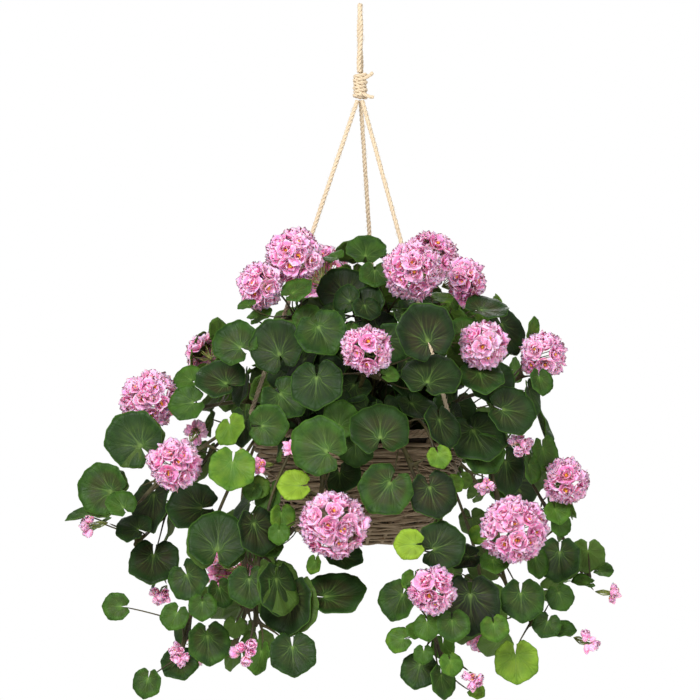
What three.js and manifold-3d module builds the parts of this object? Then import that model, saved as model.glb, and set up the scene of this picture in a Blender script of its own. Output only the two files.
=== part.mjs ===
// Geranium hanging basket: a twig-weave bowl of soil that hangs on three jute legs from one rope loop,
// planted with shoots of zonal geranium that rise over the rim and trail below the bowl.
// Millimetres, +Z up, +X to the right, -Y to the front. The origin is the bearing point inside the top of
// the rope loop, where the hook goes, so nearly everything lies below it.

import * as THREE from 'three';
import { mergeVertices } from 'three/addons/utils/BufferGeometryUtils.js';
import Module from 'manifold-3d';

const wasm = await Module();
wasm.setup();

// ---------------------------------------------------------------- driving dimensions

const GAP = 0.35;
const RIM_RADIUS = 100;
const RIM_Z = -379;
const RIM_ROD = 4.6;
const BOWL_WALL = 5;
const BOWL_SIDES = 24;
const SOIL_CROWN_Z = -376;
const LOOP_ROPE = 4.6;
const LEG_ROPE = 4;
const BINDING_TOP = -58;
const BINDING_BOTTOM = -82;
const BINDING_RADIUS = 4.8;
const LEG_KNOT_RADIUS = 4.4;
const STEM_RADIUS = 1.9;
const STEM_SIDES = 4;
const PEDUNCLE_RADIUS = 1.1;
const PETIOLE_RADIUS = 1;
const BLADE_HALF_THICKNESS = 0.8;
const SOCKET_CLEARANCE = 1.4;

// How far a flower head and a leaf like to stand from the stem, past their own size.
const HEAD_REACH = 20;
const LEAF_REACH = 12;

// Room kept round a piece while it looks for a clear place.
const STEM_ROOM = 0.7;
const STALK_ROOM = 0.5;
const BLADE_ROOM = 0.8;
const HEAD_ROOM = 1;

// A stem is drawn in steps of this length, and a stalk in two, or in three when it is long.
const STEM_STEP = 16;
const LONG_STALK = 40;

// The outside of the bowl, [radius, z] from the foot to the rim.
const BOWL_OUTSIDE = [[45, -477], [63, -460], [73, -438], [84, -416], [92, -396], [96.5, RIM_Z - RIM_ROD - GAP]];

// The three legs leave the binding this far round, in degrees from +X towards +Y.
const LEG_TURNS = { left: 199, right: 319, back: 79 };

// The loop's route: up one side, over the bearing point and down the other, in the Y-Z plane.
const LOOP_ROUTE = [
  [0.7, 2.5, -57.7], [0.9, 3.4, -48], [0.3, 4.6, -38], [-0.5, 5.6, -27], [-0.6, 6, -16], [-0.2, 5.2, -6.5],
  [0, 3.2, -0.2], [0, 0, 2.3], [0, -3.2, -0.2], [0.2, -5.2, -6.5], [0.6, -6, -16], [0.5, -5.6, -27],
  [-0.3, -4.6, -38], [-0.9, -3.4, -48], [-0.7, -2.5, -57.7],
];

// A leaf blade is a shallow dished lens about the point where its petiole meets it. Its outline is a circle
// whose middle lies ahead of that point, and a notch runs in from behind.
const BLADE_SPOKES = [0, 50, 100, 152, 180, 208, 260, 310];
const BLADE_LEAD = 0.32;
const BLADE_NOTCH = 0.14;
const BLADE_DISH = 0.1;
const PETIOLE_CORNERS = [0, 120, 240];

// A flower head is a dome of florets on a cone of stalks: [along the axis, radius], in head radii.
const HEAD_OUTLINE = [[-0.62, 0.5], [-0.26, 0.9], [0.1, 1], [0.45, 0.82], [0.7, 0.48]];
const HEAD_TIP = 1.2;
const HEAD_TOP = 0.82;
const HEAD_SIDES = 7;

// ---------------------------------------------------------------- the shoots

// stem: the route of the main stem, from its socket in the soil.
// heads: [x, y, z, radius, azimuth, elevation]; the centre of the dome and the way that it faces.
// leaves: [x, y, z, radius, azimuth, elevation, roll]; the middle of the blade, the way that its upper side
// faces and the way that its tip points. Azimuth 0 faces the front and 90 faces +X, elevation 90 faces up,
// and roll 0 has the tip up, 90 to the right and 180 down, as seen by someone whom the leaf faces.
const SHOOTS = {
  crown_left: {
    stem: [[-28, -12, -402], [-30, -16, -370], [-42, -26, -320], [-56, -30, -276]],
    heads: { a: [-58, -48, -224, 25, -12, 30], b: [-88, -62, -247, 20, -38, 10] },
    leaves: [
      [-109, -78, -301, 21, -25, 25, -60], [-73, -88, -302, 25, -20, 12, -25], [-55, -72, -254, 15, -30, 48, 40],
      [-99, -78, -267, 9, -40, 60, -80], [-88, -74, -276, 12, -30, 50, 45], [-46, -66, -279, 14, -10, 22, 30],
    ],
  },
  crown_top: {
    stem: [[6, 8, -402], [8, 6, -365], [14, -4, -310], [24, -12, -270]],
    heads: { a: [46, -62, -236, 26, 12, 22] },
    leaves: [
      [5, -15, -219, 19, 10, 52, 10], [-23, -10, -224, 10, -40, 62, -80], [13, -38, -240, 15, 0, 28, 180],
      [-16, -22, -253, 23, -12, 34, -30], [-8, -88, -289, 7, 20, 12, 180], [43, -38, -269, 21, 5, 74, 80],
    ],
  },
  crown_right: {
    stem: [[28, -2, -402], [34, -4, -368], [56, -14, -320], [76, -22, -284]],
    heads: { a: [92, -28, -245, 19, 60, 12] },
    leaves: [
      [72, -52, -261, 11, 20, 66, 85], [82, -48, -265, 7, 65, 12, 0], [93, -60, -289, 14, 20, 42, 60],
      [112, -42, -271, 20, 30, 62, 90], [128, -36, -290, 23, 48, 15, 160],
    ],
  },
  shoulder_right: {
    stem: [[52, -30, -402], [60, -35, -367], [92, -50, -348], [122, -54, -339], [142, -44, -330]],
    heads: { a: [106, -98, -302, 21, 4, 8], b: [161, -48, -311, 20, 24, 8] },
    leaves: [
      [105, -108, -331, 20, 8, 40, 175], [113, -86, -337, 22, 22, 20, 120], [131, -92, -359, 23, 18, 20, 100],
      [149, -76, -347, 17, 62, 10, 170], [151, -46, -288, 12, 62, 2, 0], [157, -58, -334, 13, 38, 10, 180],
    ],
  },
  center_front: {
    stem: [[-4, -38, -402], [-4, -46, -368], [-2, -72, -342], [6, -94, -326]],
    heads: { a: [5, -142, -306, 21, 4, 10] },
    leaves: [
      [-33, -112, -292, 23, -6, 20, 150], [-38, -126, -337, 24, -10, 20, 178], [55, -122, -291, 26, 4, 10, -22],
      [60, -128, -329, 27, 4, 52, 20], [25, -142, -328, 9, 20, 40, 90],
    ],
  },
  side_left_upper: {
    stem: [[-56, 6, -402], [-66, 4, -366], [-100, -6, -352], [-134, -14, -356], [-156, -18, -362]],
    heads: { a: [-186, -46, -350, 25, -22, 14] },
    leaves: [
      [-123, -62, -333, 23, -15, 45, -60], [-152, -42, -331, 14, -20, 42, -60], [-152, -52, -353, 17, -10, 20, -100],
      [-102, -40, -338, 19, -66, 4, 180], [-126, 34, -345, 23, -110, 20, -150],
    ],
  },
  side_left_mid: {
    stem: [[-58, -30, -402], [-70, -38, -366], [-104, -58, -370], [-140, -70, -392], [-176, -74, -420],
      [-194, -74, -440]],
    heads: { a: [-160, -118, -405, 22, -5, 8], b: [-145, -52, -379, 15, 165, 25] },
    leaves: [
      [-197, -74, -384, 26, -14, 14, -42], [-225, -62, -429, 24, -30, 10, -82], [-208, -98, -440, 14, 0, 38, -30],
      [-111, -118, -409, 21, 0, 14, 186], [-112, -102, -375, 16, -36, 20, 150], [-79, -114, -372, 19, -8, 6, 92],
      [-101, -92, -373, 18, -58, 5, 180], [-65, -110, -349, 22, 2, 22, 140],
    ],
  },
  side_left_low: {
    stem: [[-66, 24, -402], [-78, 26, -366], [-112, 24, -376], [-150, 14, -418], [-180, 4, -460], [-202, -4, -480]],
    heads: { a: [-240, -6, -463, 13, -66, -8], b: [-177, -14, -523, 13, -18, -25] },
    leaves: [
      [-183, -22, -443, 26, -44, 10, 172], [-200, -32, -463, 17, -20, 48, -60], [-147, -62, -445, 24, -10, 24, -90],
      [-184, -22, -495, 24, -10, 28, 178], [-142, 44, -410, 24, -125, 15, 170], [-168, 38, -462, 22, -95, 10, 175],
    ],
  },
  trail_left_outer: {
    stem: [[-46, -56, -402], [-56, -68, -366], [-84, -92, -374], [-116, -102, -430], [-138, -104, -490],
      [-148, -102, -540], [-158, -100, -580]],
    heads: { a: [-156, -132, -568, 13, 0, -8] },
    leaves: [
      [-148, -102, -506, 19, -20, 10, 150], [-121, -118, -516, 14, 28, 10, 170], [-136, -134, -527, 13, 0, 15, 180],
      [-212, -96, -529, 13, -10, 10, -90], [-160, -116, -537, 13, -10, 10, 200], [-154, -100, -548, 15, -56, 2, 180],
      [-132, -118, -560, 20, 14, 10, 178], [-157, -100, -580, 17, -8, 34, 160], [-185, -106, -595, 14, -18, 10, 190],
    ],
  },
  trail_left_inner: {
    stem: [[-30, -66, -402], [-36, -80, -365], [-52, -106, -374], [-76, -124, -430], [-88, -132, -490],
      [-90, -134, -545]],
    heads: { a: [-98, -168, -563, 15, -5, 0] },
    leaves: [
      [-123, -108, -471, 27, -5, 28, 0], [-90, -132, -462, 22, 36, 10, 170], [-95, -152, -508, 19, 0, 10, 178],
      [-73, -142, -510, 24, 44, 5, 180], [-59, -132, -526, 27, -40, 5, 180], [-22, -122, -519, 27, 8, 50, 90],
      [-58, -146, -567, 21, 5, 14, 178], [-86, -136, -570, 16, -46, 5, 190],
    ],
  },
  front_left: {
    stem: [[-12, -72, -402], [-14, -86, -365], [-22, -112, -372], [-32, -122, -410], [-36, -124, -446]],
    heads: { a: [-23, -162, -455, 29, 0, 4], b: [-58, -134, -390, 11, -20, 5], c: [-85, -116, -406, 10, -60, -5] },
    leaves: [
      [-57, -132, -423, 15, -4, 28, -92], [-78, -122, -431, 15, -38, 5, 180], [-93, -118, -428, 9, -10, 10, 200],
      [-68, -126, -450, 12, 20, 10, 180], [-70, -138, -464, 10, -10, 10, 180], [-77, -132, -478, 10, 0, 38, 150],
      [-14, -126, -485, 17, 10, 48, 120], [-40, -126, -491, 9, -38, 10, 190], [-35, -136, -389, 26, -24, 10, -62],
      [-18, -120, -366, 17, 20, 10, 10], [-18, -136, -418, 19, 0, 32, 178], [-68, -120, -392, 12, -70, 20, 30],
    ],
  },
  front_center: {
    stem: [[16, -70, -402], [18, -86, -364], [28, -114, -372], [40, -122, -400], [50, -122, -424]],
    heads: {},
    leaves: [
      [17, -132, -375, 27, 0, 38, 0], [21, -142, -426, 24, 0, 10, -145], [61, -132, -431, 22, 18, 10, 170],
      [69, -112, -373, 21, 46, 10, 180], [68, -132, -398, 11, 0, 20, 160], [81, -112, -422, 9, 28, 20, 140],
      [-4, -112, -392, 16, 0, 2, 180],
    ],
  },
  trail_front_right: {
    stem: [[36, -62, -402], [44, -76, -365], [58, -104, -374], [70, -122, -430], [66, -132, -490],
      [62, -136, -540], [72, -136, -580]],
    heads: { a: [61, -168, -511, 19, 0, 4], b: [96, -162, -586, 12, 10, -18] },
    leaves: [
      [69, -138, -475, 22, 10, 10, 72], [42, -158, -472, 14, -10, 10, -92], [46, -142, -504, 11, -10, 10, 180],
      [78, -168, -541, 15, 10, 15, 180], [57, -162, -542, 13, -18, 15, 170], [34, -142, -520, 19, -36, 10, 200],
      [33, -146, -554, 12, -20, 20, -100], [46, -152, -546, 8, 10, 28, -60], [54, -156, -566, 9, 0, 10, 180],
      [50, -142, -581, 17, -10, 14, 190], [77, -162, -574, 11, 18, 10, 170], [71, -136, -562, 11, 0, 2, 180],
      [69, -146, -588, 16, 46, 2, 180], [99, -146, -600, 8, 10, 38, 120],
    ],
  },
  trail_right_inner: {
    stem: [[60, -48, -402], [72, -56, -366], [100, -72, -376], [118, -84, -430], [122, -92, -490],
      [136, -92, -530], [160, -92, -550]],
    heads: { a: [133, -132, -461, 29, 4, 4], b: [197, -92, -560, 15, 36, -8] },
    leaves: [
      [103, -96, -467, 9, -30, 2, -150], [88, -102, -486, 18, 5, 45, -95], [115, -112, -491, 13, 10, 38, 180],
      [95, -126, -526, 28, 0, 10, 178], [139, -112, -523, 20, 10, 10, 180], [115, -142, -545, 13, 0, 15, 170],
      [174, -96, -521, 13, 10, 10, 160], [161, -106, -545, 13, 0, 20, 200], [176, -102, -551, 12, 10, 58, 90],
      [134, -122, -575, 20, 0, 6, 178],
    ],
  },
  trail_right_outer: {
    stem: [[72, 4, -402], [84, 2, -365], [120, -8, -376], [150, -20, -420], [174, -26, -462],
      [190, -28, -490], [204, -30, -508]],
    heads: { a: [181, -52, -422, 19, 8, 8], b: [221, -36, -521, 11, 74, -4] },
    leaves: [
      [173, -46, -450, 12, 10, 24, 170], [176, -32, -461, 11, 28, 2, 180], [176, -46, -491, 21, -18, 5, 180],
      [201, -42, -488, 17, 176, 16, 178], [154, -56, -493, 15, 46, 5, 180], [215, -36, -502, 10, 20, 48, 100],
      [197, -40, -512, 11, 0, 62, -90], [152, 34, -412, 24, 112, 14, 178], [172, 22, -458, 22, 92, 10, 172],
    ],
  },
  side_right: {
    stem: [[66, -20, -402], [80, -26, -365], [112, -40, -372], [130, -44, -392], [138, -44, -410]],
    heads: { a: [140, -82, -390, 14, 8, 8], b: [109, -84, -424, 10, -8, -8] },
    leaves: [
      [102, -78, -383, 26, 8, 28, 160], [108, -98, -395, 19, 5, 10, 150], [128, -82, -412, 24, 40, 5, 180],
      [162, -42, -398, 17, 46, 5, 170], [148, -62, -411, 13, 60, 5, 180], [122, -72, -430, 9, -20, 10, 190],
      [132, 30, -352, 24, 98, 20, 175], [160, -4, -372, 22, 82, 12, 178],
    ],
  },
};

// A plant is one or more shoots grown from the same socket in the soil, the first shoot's. The back repeats
// shoots of the front, turned about the vertical: heads names the flower heads that come along, lowest
// leaves out what hangs lower, reach spreads what lies outside the rim, and bloom sizes the flower heads.
const asMade = (source) => ({ source, heads: Object.keys(SHOOTS[source].heads), turn: 0 });

const PLANTS = {
  crown: [asMade('crown_top'), asMade('crown_left'), asMade('crown_right')],
  shoulder_right: [asMade('shoulder_right')],
  center_front: [asMade('center_front')],
  side_left: [asMade('side_left_upper'), asMade('side_left_low')],
  side_left_front: [asMade('side_left_mid')],
  trail_left: [asMade('trail_left_outer'), asMade('trail_left_inner')],
  front: [asMade('front_left'), asMade('front_center')],
  trail_front_right: [asMade('trail_front_right')],
  trail_right_inner: [asMade('trail_right_inner')],
  trail_right: [asMade('trail_right_outer'), asMade('side_right')],
  crown_back: [
    { source: 'crown_left', heads: ['a'], turn: 174 },
    { source: 'crown_top', heads: ['a'], turn: 170 },
  ],
  center_back: [
    { source: 'center_front', heads: ['a'], turn: 182, bloom: 1.1 },
    { source: 'shoulder_right', heads: ['a', 'b'], turn: 162 },
  ],
  trail_back_right: [
    { source: 'trail_left_outer', heads: ['a'], turn: 195, lowest: -590, bloom: 1.6 },
    { source: 'side_left_mid', heads: ['a'], turn: 215 },
  ],
  trail_back_middle: [
    { source: 'front_left', heads: ['a'], turn: 186, lowest: -468, reach: 1.4 },
    { source: 'side_right', heads: ['a'], turn: 118, bloom: 1.4 },
  ],
  trail_back_left: [
    { source: 'trail_front_right', heads: ['a', 'b'], turn: 195, lowest: -590, reach: 1.2, bloom: 1.3 },
    { source: 'side_left_low', heads: ['a'], turn: 290, reach: 0.9, bloom: 1.5 },
    { source: 'side_left_upper', heads: [], turn: 280 },
  ],
};

// ---------------------------------------------------------------- materials

const material = (color, roughness) => new THREE.MeshStandardMaterial({
  color, roughness, metalness: 0, flatShading: true,
});

const MATERIALS = {
  jute: material(0xa88a5f, 0.9),
  twig: material(0x3d2c17, 0.85),
  soil: material(0x241a10, 1),
  foliage: material(0x34502a, 0.6),
  petal: material(0xf27dba, 0.65),
};

// ---------------------------------------------------------------- solids

function signedVolume(positions, triangles) {
  const [a, b, c] = [new THREE.Vector3(), new THREE.Vector3(), new THREE.Vector3()];
  let total = 0;
  for (let i = 0; i < triangles.length; i += 3) {
    a.fromArray(positions, triangles[i] * 3);
    b.fromArray(positions, triangles[i + 1] * 3);
    c.fromArray(positions, triangles[i + 2] * 3);
    total += a.dot(b.cross(c));
  }
  return total / 6;
}

// A three.js geometry as a manifold-3d solid, with its faces pointing out.
function solidOf(geometry) {
  const bare = geometry.clone();
  bare.deleteAttribute('normal');
  bare.deleteAttribute('uv');
  const merged = mergeVertices(bare, 1e-3);
  const vertProperties = new Float32Array(merged.attributes.position.array);
  const triVerts = new Uint32Array(merged.index.array);
  if (signedVolume(vertProperties, triVerts) < 0) triVerts.reverse();
  return new wasm.Manifold(new wasm.Mesh({ numProp: 3, vertProperties, triVerts }));
}

function geometryOf(solid) {
  const mesh = solid.getMesh();
  const geometry = new THREE.BufferGeometry();
  geometry.setAttribute('position', new THREE.BufferAttribute(mesh.vertProperties, 3));
  geometry.setIndex(new THREE.BufferAttribute(mesh.triVerts, 1));
  return geometry;
}

const vector = ([x, y, z]) => new THREE.Vector3(x, y, z);

// A rod of constant section that follows a curve.
function rod(curve, radius, sides, steps) {
  const section = new THREE.Shape();
  for (let i = 0; i < sides; i += 1) {
    const turn = (i * 2 * Math.PI) / sides;
    if (i === 0) section.moveTo(radius, 0);
    else section.lineTo(radius * Math.cos(turn), radius * Math.sin(turn));
  }
  section.closePath();
  return solidOf(new THREE.ExtrudeGeometry(section, { steps, bevelEnabled: false, extrudePath: curve }));
}

// A turned piece about +Z; the outline is [radius, z].
function turned(outline, sides) {
  const points = outline.map(([radius, z]) => new THREE.Vector2(radius, z));
  return solidOf(new THREE.LatheGeometry(points, sides).rotateX(Math.PI / 2));
}

function ball(centre, radius, sides) {
  return solidOf(new THREE.SphereGeometry(radius, sides, sides / 2).translate(...centre));
}

// ---------------------------------------------------------------- directions

// The way a leaf or a flower head faces, with the two directions across it.
function facing(azimuth, elevation) {
  const az = THREE.MathUtils.degToRad(azimuth);
  const el = THREE.MathUtils.degToRad(elevation);
  return {
    normal: new THREE.Vector3(Math.sin(az) * Math.cos(el), -Math.cos(az) * Math.cos(el), Math.sin(el)),
    up: new THREE.Vector3(-Math.sin(az) * Math.sin(el), Math.cos(az) * Math.sin(el), Math.cos(el)),
    right: new THREE.Vector3(Math.cos(az), Math.sin(az), 0),
  };
}

// ---------------------------------------------------------------- leaf blades and flower heads

// Where a leaf row puts its blade: the petiole's point, the direction to the tip, and so on.
function placeBlade([x, y, z, radius, azimuth, elevation, roll]) {
  const { normal, up, right } = facing(azimuth, elevation);
  const turn = THREE.MathUtils.degToRad(roll);
  const axis = up.clone().multiplyScalar(Math.cos(turn)).addScaledVector(right, Math.sin(turn));
  const side = new THREE.Vector3().crossVectors(axis, normal);
  const point = new THREE.Vector3(x, y, z).addScaledVector(axis, -BLADE_LEAD * radius);
  return { point, normal, axis, side, radius };
}

// How far the edge is from the petiole's point, for a spoke at this angle from the axis.
function spokeLength(degrees, radius) {
  if (degrees === 180) return BLADE_NOTCH * radius;
  const turn = THREE.MathUtils.degToRad(degrees);
  const lead = BLADE_LEAD * radius;
  return lead * Math.cos(turn) + Math.sqrt(radius ** 2 - (lead * Math.sin(turn)) ** 2);
}

function edgePoint({ point, normal, axis, side, radius }, degrees) {
  const length = spokeLength(degrees, radius);
  const turn = THREE.MathUtils.degToRad(degrees);
  return point.clone()
    .addScaledVector(axis, length * Math.cos(turn))
    .addScaledVector(side, length * Math.sin(turn))
    .addScaledVector(normal, BLADE_DISH * (length ** 2 / radius));
}

function indexedSolid(points, triangles) {
  const geometry = new THREE.BufferGeometry();
  geometry.setAttribute('position', new THREE.Float32BufferAttribute(points.flatMap((p) => p.toArray()), 3));
  geometry.setIndex(triangles);
  return solidOf(geometry);
}

// The blade alone, as a lens with a peak on each side.
function bladeSolid(blade, halfThickness) {
  const peaks = [1, -1].map((sign) => blade.point.clone().addScaledVector(blade.normal, sign * halfThickness));
  const points = [...peaks, ...BLADE_SPOKES.map((degrees) => edgePoint(blade, degrees))];
  const triangles = [];
  const count = BLADE_SPOKES.length;
  for (let i = 0; i < count; i += 1) {
    const here = 2 + i;
    const next = 2 + ((i + 1) % count);
    triangles.push(0, here, next, 1, next, here);
  }
  return indexedSolid(points, triangles);
}

// The corners of a petiole's sections, from the blade down to the stem.
function petioleRings(curve, blade, steps) {
  const rings = [];
  let across = blade.axis.clone();
  for (let i = 0; i <= steps; i += 1) {
    const along = curve.getTangent(1 - i / steps);
    across = across.clone().addScaledVector(along, -across.dot(along)).normalize();
    const beside = new THREE.Vector3().crossVectors(across, along);
    rings.push(PETIOLE_CORNERS.map((degrees) => {
      const turn = THREE.MathUtils.degToRad(degrees);
      return curve.getPoint(1 - i / steps)
        .addScaledVector(across, PETIOLE_RADIUS * Math.cos(turn))
        .addScaledVector(beside, PETIOLE_RADIUS * Math.sin(turn));
    }));
  }
  return rings;
}

// The faces of the blade's underside, between its edge and the top ring of the petiole.
function undersideTriangles(edge, ring) {
  const triangles = [];
  const edgeAngle = (i) => (i === edge.length ? 360 : BLADE_SPOKES[i]);
  const ringAngle = (j) => (j === ring.length ? 360 : PETIOLE_CORNERS[j]);
  let [i, j] = [0, 0];
  while (i < edge.length || j < ring.length) {
    const edgeHere = edge[i % edge.length];
    const ringHere = ring[j % ring.length];
    if (j === ring.length || (i < edge.length && edgeAngle(i + 1) <= ringAngle(j + 1))) {
      i += 1;
      triangles.push(edge[i % edge.length], edgeHere, ringHere);
    } else {
      j += 1;
      triangles.push(edgeHere, ringHere, ring[j % ring.length]);
    }
  }
  return triangles;
}

// A blade and its petiole as one closed mesh: the petiole grows out of the blade's underside.
function leafSolid(blade, { curve, steps }) {
  const peak = blade.point.clone().addScaledVector(blade.normal, BLADE_HALF_THICKNESS);
  const corners = petioleRings(curve, blade, steps);
  const points = [peak, ...BLADE_SPOKES.map((degrees) => edgePoint(blade, degrees)), ...corners.flat()];
  const edge = BLADE_SPOKES.map((_, i) => 1 + i);
  const rings = corners.map((ring, k) => ring.map((_, j) => 1 + edge.length + k * ring.length + j));
  const triangles = edge.flatMap((here, i) => [0, here, edge[(i + 1) % edge.length]]);
  triangles.push(...undersideTriangles(edge, rings[0]));
  for (let k = 0; k < steps; k += 1) {
    const [upper, lower] = [rings[k], rings[k + 1]];
    upper.forEach((here, j) => {
      const next = (j + 1) % upper.length;
      triangles.push(upper[next], here, lower[j], upper[next], lower[j], lower[next]);
    });
  }
  const [a, b, c] = rings[steps];
  triangles.push(a, c, b);
  return indexedSolid(points, triangles);
}

function placeHead([x, y, z, radius, azimuth, elevation]) {
  const { normal } = facing(azimuth, elevation);
  const centre = new THREE.Vector3(x, y, z);
  const base = centre.clone().addScaledVector(normal, -HEAD_TIP * radius);
  return { centre, normal, base, radius };
}

function headSolid({ centre, normal, radius }, grow) {
  const size = radius + grow;
  const outline = [[0, -HEAD_TIP * size], [PEDUNCLE_RADIUS + 0.3, -HEAD_TIP * size]];
  for (const [along, across] of HEAD_OUTLINE) outline.push([across * size, along * size]);
  outline.push([0, HEAD_TOP * size]);
  const geometry = geometryOf(turned(outline, HEAD_SIDES));
  const turn = new THREE.Quaternion().setFromUnitVectors(new THREE.Vector3(0, 0, 1), normal);
  return solidOf(geometry.applyQuaternion(turn).translate(...centre.toArray()));
}

// ---------------------------------------------------------------- keeping pieces clear of each other

const placed = [];

function boxesMeet(a, b) {
  return [0, 1, 2].every((i) => a.min[i] <= b.max[i] && b.min[i] <= a.max[i]);
}

function isClear(solid, skip = () => false) {
  const box = solid.boundingBox();
  return placed.every((other) => {
    if (skip(other) || !boxesMeet(box, other.box)) return true;
    const common = solid.intersect(other.solid);
    const clear = common.isEmpty();
    common.delete();
    return clear;
  });
}

function keep(solid, kind, plant) {
  placed.push({ solid, kind, plant, box: solid.boundingBox() });
  return solid;
}

// Small moves to try, the nearest first: every direction on a coarse grid.
function nudges(steps, weights) {
  const moves = [];
  for (const dx of steps) {
    for (const dy of steps) {
      for (const dz of steps) moves.push([dx * weights[0], dy * weights[1], dz * weights[2]]);
    }
  }
  const size = ([x, y, z]) => Math.hypot(x / weights[0], y / weights[1], z / weights[2]);
  return moves.sort((a, b) => size(a) - size(b));
}

const STEM_NUDGES = nudges([0, 1, -1, 2, -2, 3, -3], [4, 4, 4]);
const HEAD_NUDGES = nudges([0, 1, -1, 2, -2, 3, -3], [3, 8, 3]);
const LEAF_NUDGES = [
  ...nudges([0, 1, -1, 2, -2, 3, -3, 4, -4], [1.2, 7, 1.2]).filter(([x, , z]) => Math.hypot(x, z) < 3.6),
  ...nudges([0, 1, -1, 2, -2], [8, 9, 8]),
];
const LEAF_TILTS = [[0, 0], [0, 12], [0, -12], [16, 0], [-16, 0], [14, 14], [-14, 14], [0, 26], [26, -8], [-26, -8]];
const STALK_BENDS = nudges([0, 1, -1], [9, 9, 9]);

// A stalk leaves the stem at one of the best few of the places tried along it, starts towards its end, and
// comes in straight over the last part of its span.
const STALK_ROOTS = 9;
const ROOT_PLACES = 40;
const FIRST_ROOT_PLACE = 6;
const STALK_LEAD = 0.35;

// ---------------------------------------------------------------- stems, peduncles and petioles

// Moves the stem's middle points until the whole stem is clear. Its socket stays where it is.
function settleStem(name, points) {
  for (const [dx, dy, dz] of STEM_NUDGES) {
    const [foot, mouth, ...free] = points;
    const waist = foot.map((value, i) => (value + mouth[i]) / 2);
    const moved = [foot, waist, mouth, ...free.map(([x, y, z]) => [x + dx, y + dy, z + dz])];
    const curve = new THREE.CatmullRomCurve3(moved.map(vector), false, 'centripetal');
    const steps = Math.round(curve.getLength() / STEM_STEP);
    const thick = rod(curve, STEM_RADIUS + STEM_ROOM, STEM_SIDES, steps);
    if (isClear(thick, (other) => other.kind === 'soil' || other.plant === name)) {
      return { curve, solid: keep(rod(curve, STEM_RADIUS, STEM_SIDES, steps), 'stem', name) };
    }
  }
  throw new Error(`stem of ${name} has no clear route`);
}

// Places along the stem where a stalk could leave it, the likeliest first: about reach away, behind the
// face that the stalk has to come up to.
function stalkRoots(stem, target, normal, reach) {
  const roots = [];
  for (let i = FIRST_ROOT_PLACE; i <= ROOT_PLACES; i += 1) {
    const root = stem.getPointAt(i / ROOT_PLACES);
    const toTarget = target.clone().sub(root);
    const behind = toTarget.dot(normal);
    roots.push({ root, score: Math.abs(toTarget.length() - reach) + Math.max(0, 4 - behind) });
  }
  return roots.sort((a, b) => a.score - b.score).slice(0, STALK_ROOTS);
}

// A stalk from the stem to its leaf or flower head, bent round what is in its way, or null.
function settleStalk(stem, plant, end, arrive, normal, reach, radius, sides) {
  for (const { root } of stalkRoots(stem, end, normal, reach)) {
    const span = root.distanceTo(end);
    for (const bend of STALK_BENDS) {
      const first = root.clone().lerp(end, STALK_LEAD).add(vector(bend));
      const last = end.clone().addScaledVector(arrive, -STALK_LEAD * span);
      const curve = new THREE.CubicBezierCurve3(root, first, last, end);
      const steps = span > LONG_STALK ? 3 : 2;
      const thick = rod(curve, radius + STALK_ROOM, sides, steps);
      const clear = isClear(thick, (other) => other.plant === plant && /stem|stalk/.test(other.kind));
      thick.delete();
      if (!clear) continue;
      const solid = keep(rod(curve, radius, sides, steps), 'stalk', plant);
      return { curve, steps, solid };
    }
  }
  return null;
}

// ---------------------------------------------------------------- shoots

function moveRow(row, [dx, dy, dz], [dAzimuth, dElevation]) {
  const [x, y, z, radius, azimuth, elevation, ...rest] = row;
  return [x + dx, y + dy, z + dz, radius, azimuth + dAzimuth, elevation + dElevation, ...rest];
}

function growHead(row, stem, plant) {
  for (const move of HEAD_NUDGES) {
    const head = placeHead(moveRow(row, move, [0, 0]));
    if (!isClear(headSolid(head, HEAD_ROOM))) continue;
    const end = head.base.clone().addScaledVector(head.normal, -GAP);
    const reach = HEAD_REACH + head.radius;
    const stalk = settleStalk(stem, plant, end, head.normal, head.normal, reach, PEDUNCLE_RADIUS, 4);
    if (!stalk) continue;
    return { solid: keep(headSolid(head, 0), 'head', plant), stalk: stalk.solid };
  }
  throw new Error(`flower head of ${plant} at ${row} has no clear place`);
}

function growLeaf(row, stem, plant) {
  for (const tilt of LEAF_TILTS) {
    for (const move of LEAF_NUDGES) {
      const blade = placeBlade(moveRow(row, move, tilt));
      const thick = bladeSolid({ ...blade, radius: blade.radius + BLADE_ROOM }, 2 * BLADE_HALF_THICKNESS);
      const clear = isClear(thick);
      thick.delete();
      if (!clear) continue;
      const arrive = blade.normal.clone().multiplyScalar(0.8).addScaledVector(blade.axis, 0.6);
      const end = blade.point.clone().addScaledVector(blade.normal, -BLADE_HALF_THICKNESS);
      const reach = LEAF_REACH + 1.4 * blade.radius;
      const stalk = settleStalk(stem, plant, end, arrive, blade.normal, reach, PETIOLE_RADIUS, 3);
      if (!stalk) continue;
      keep(bladeSolid(blade, BLADE_HALF_THICKNESS), 'blade', plant);
      return leafSolid(blade, stalk);
    }
  }
  throw new Error(`leaf of ${plant} at ${row} has no clear place`);
}

// Joins the pieces of a plant into one body, and fills any pocket that crossing stalks close off.
function joinPlant(name, pieces) {
  const bodies = pieces.reduce((sum, piece) => sum.add(piece)).decompose();
  bodies.sort((a, b) => b.volume() - a.volume());
  if (bodies.slice(1).some((body) => Math.abs(body.volume()) > 1)) throw new Error(`${name} is not one body`);
  return bodies[0];
}

function turnPoint([x, y, z, ...rest], { turn, reach = 1 }) {
  const angle = THREE.MathUtils.degToRad(turn);
  const spread = 1 + (reach - 1) * THREE.MathUtils.clamp((Math.hypot(x, y) - RIM_RADIUS) / RIM_RADIUS, 0, 1);
  const [sx, sy] = [x * spread, y * spread];
  return [
    sx * Math.cos(angle) - sy * Math.sin(angle),
    sx * Math.sin(angle) + sy * Math.cos(angle),
    z, ...rest,
  ];
}

function turnRow(row, shoot, grow) {
  const [x, y, z, radius, azimuth, ...rest] = turnPoint(row, shoot);
  return [x, y, z, radius * grow, azimuth + shoot.turn, ...rest];
}

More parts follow.
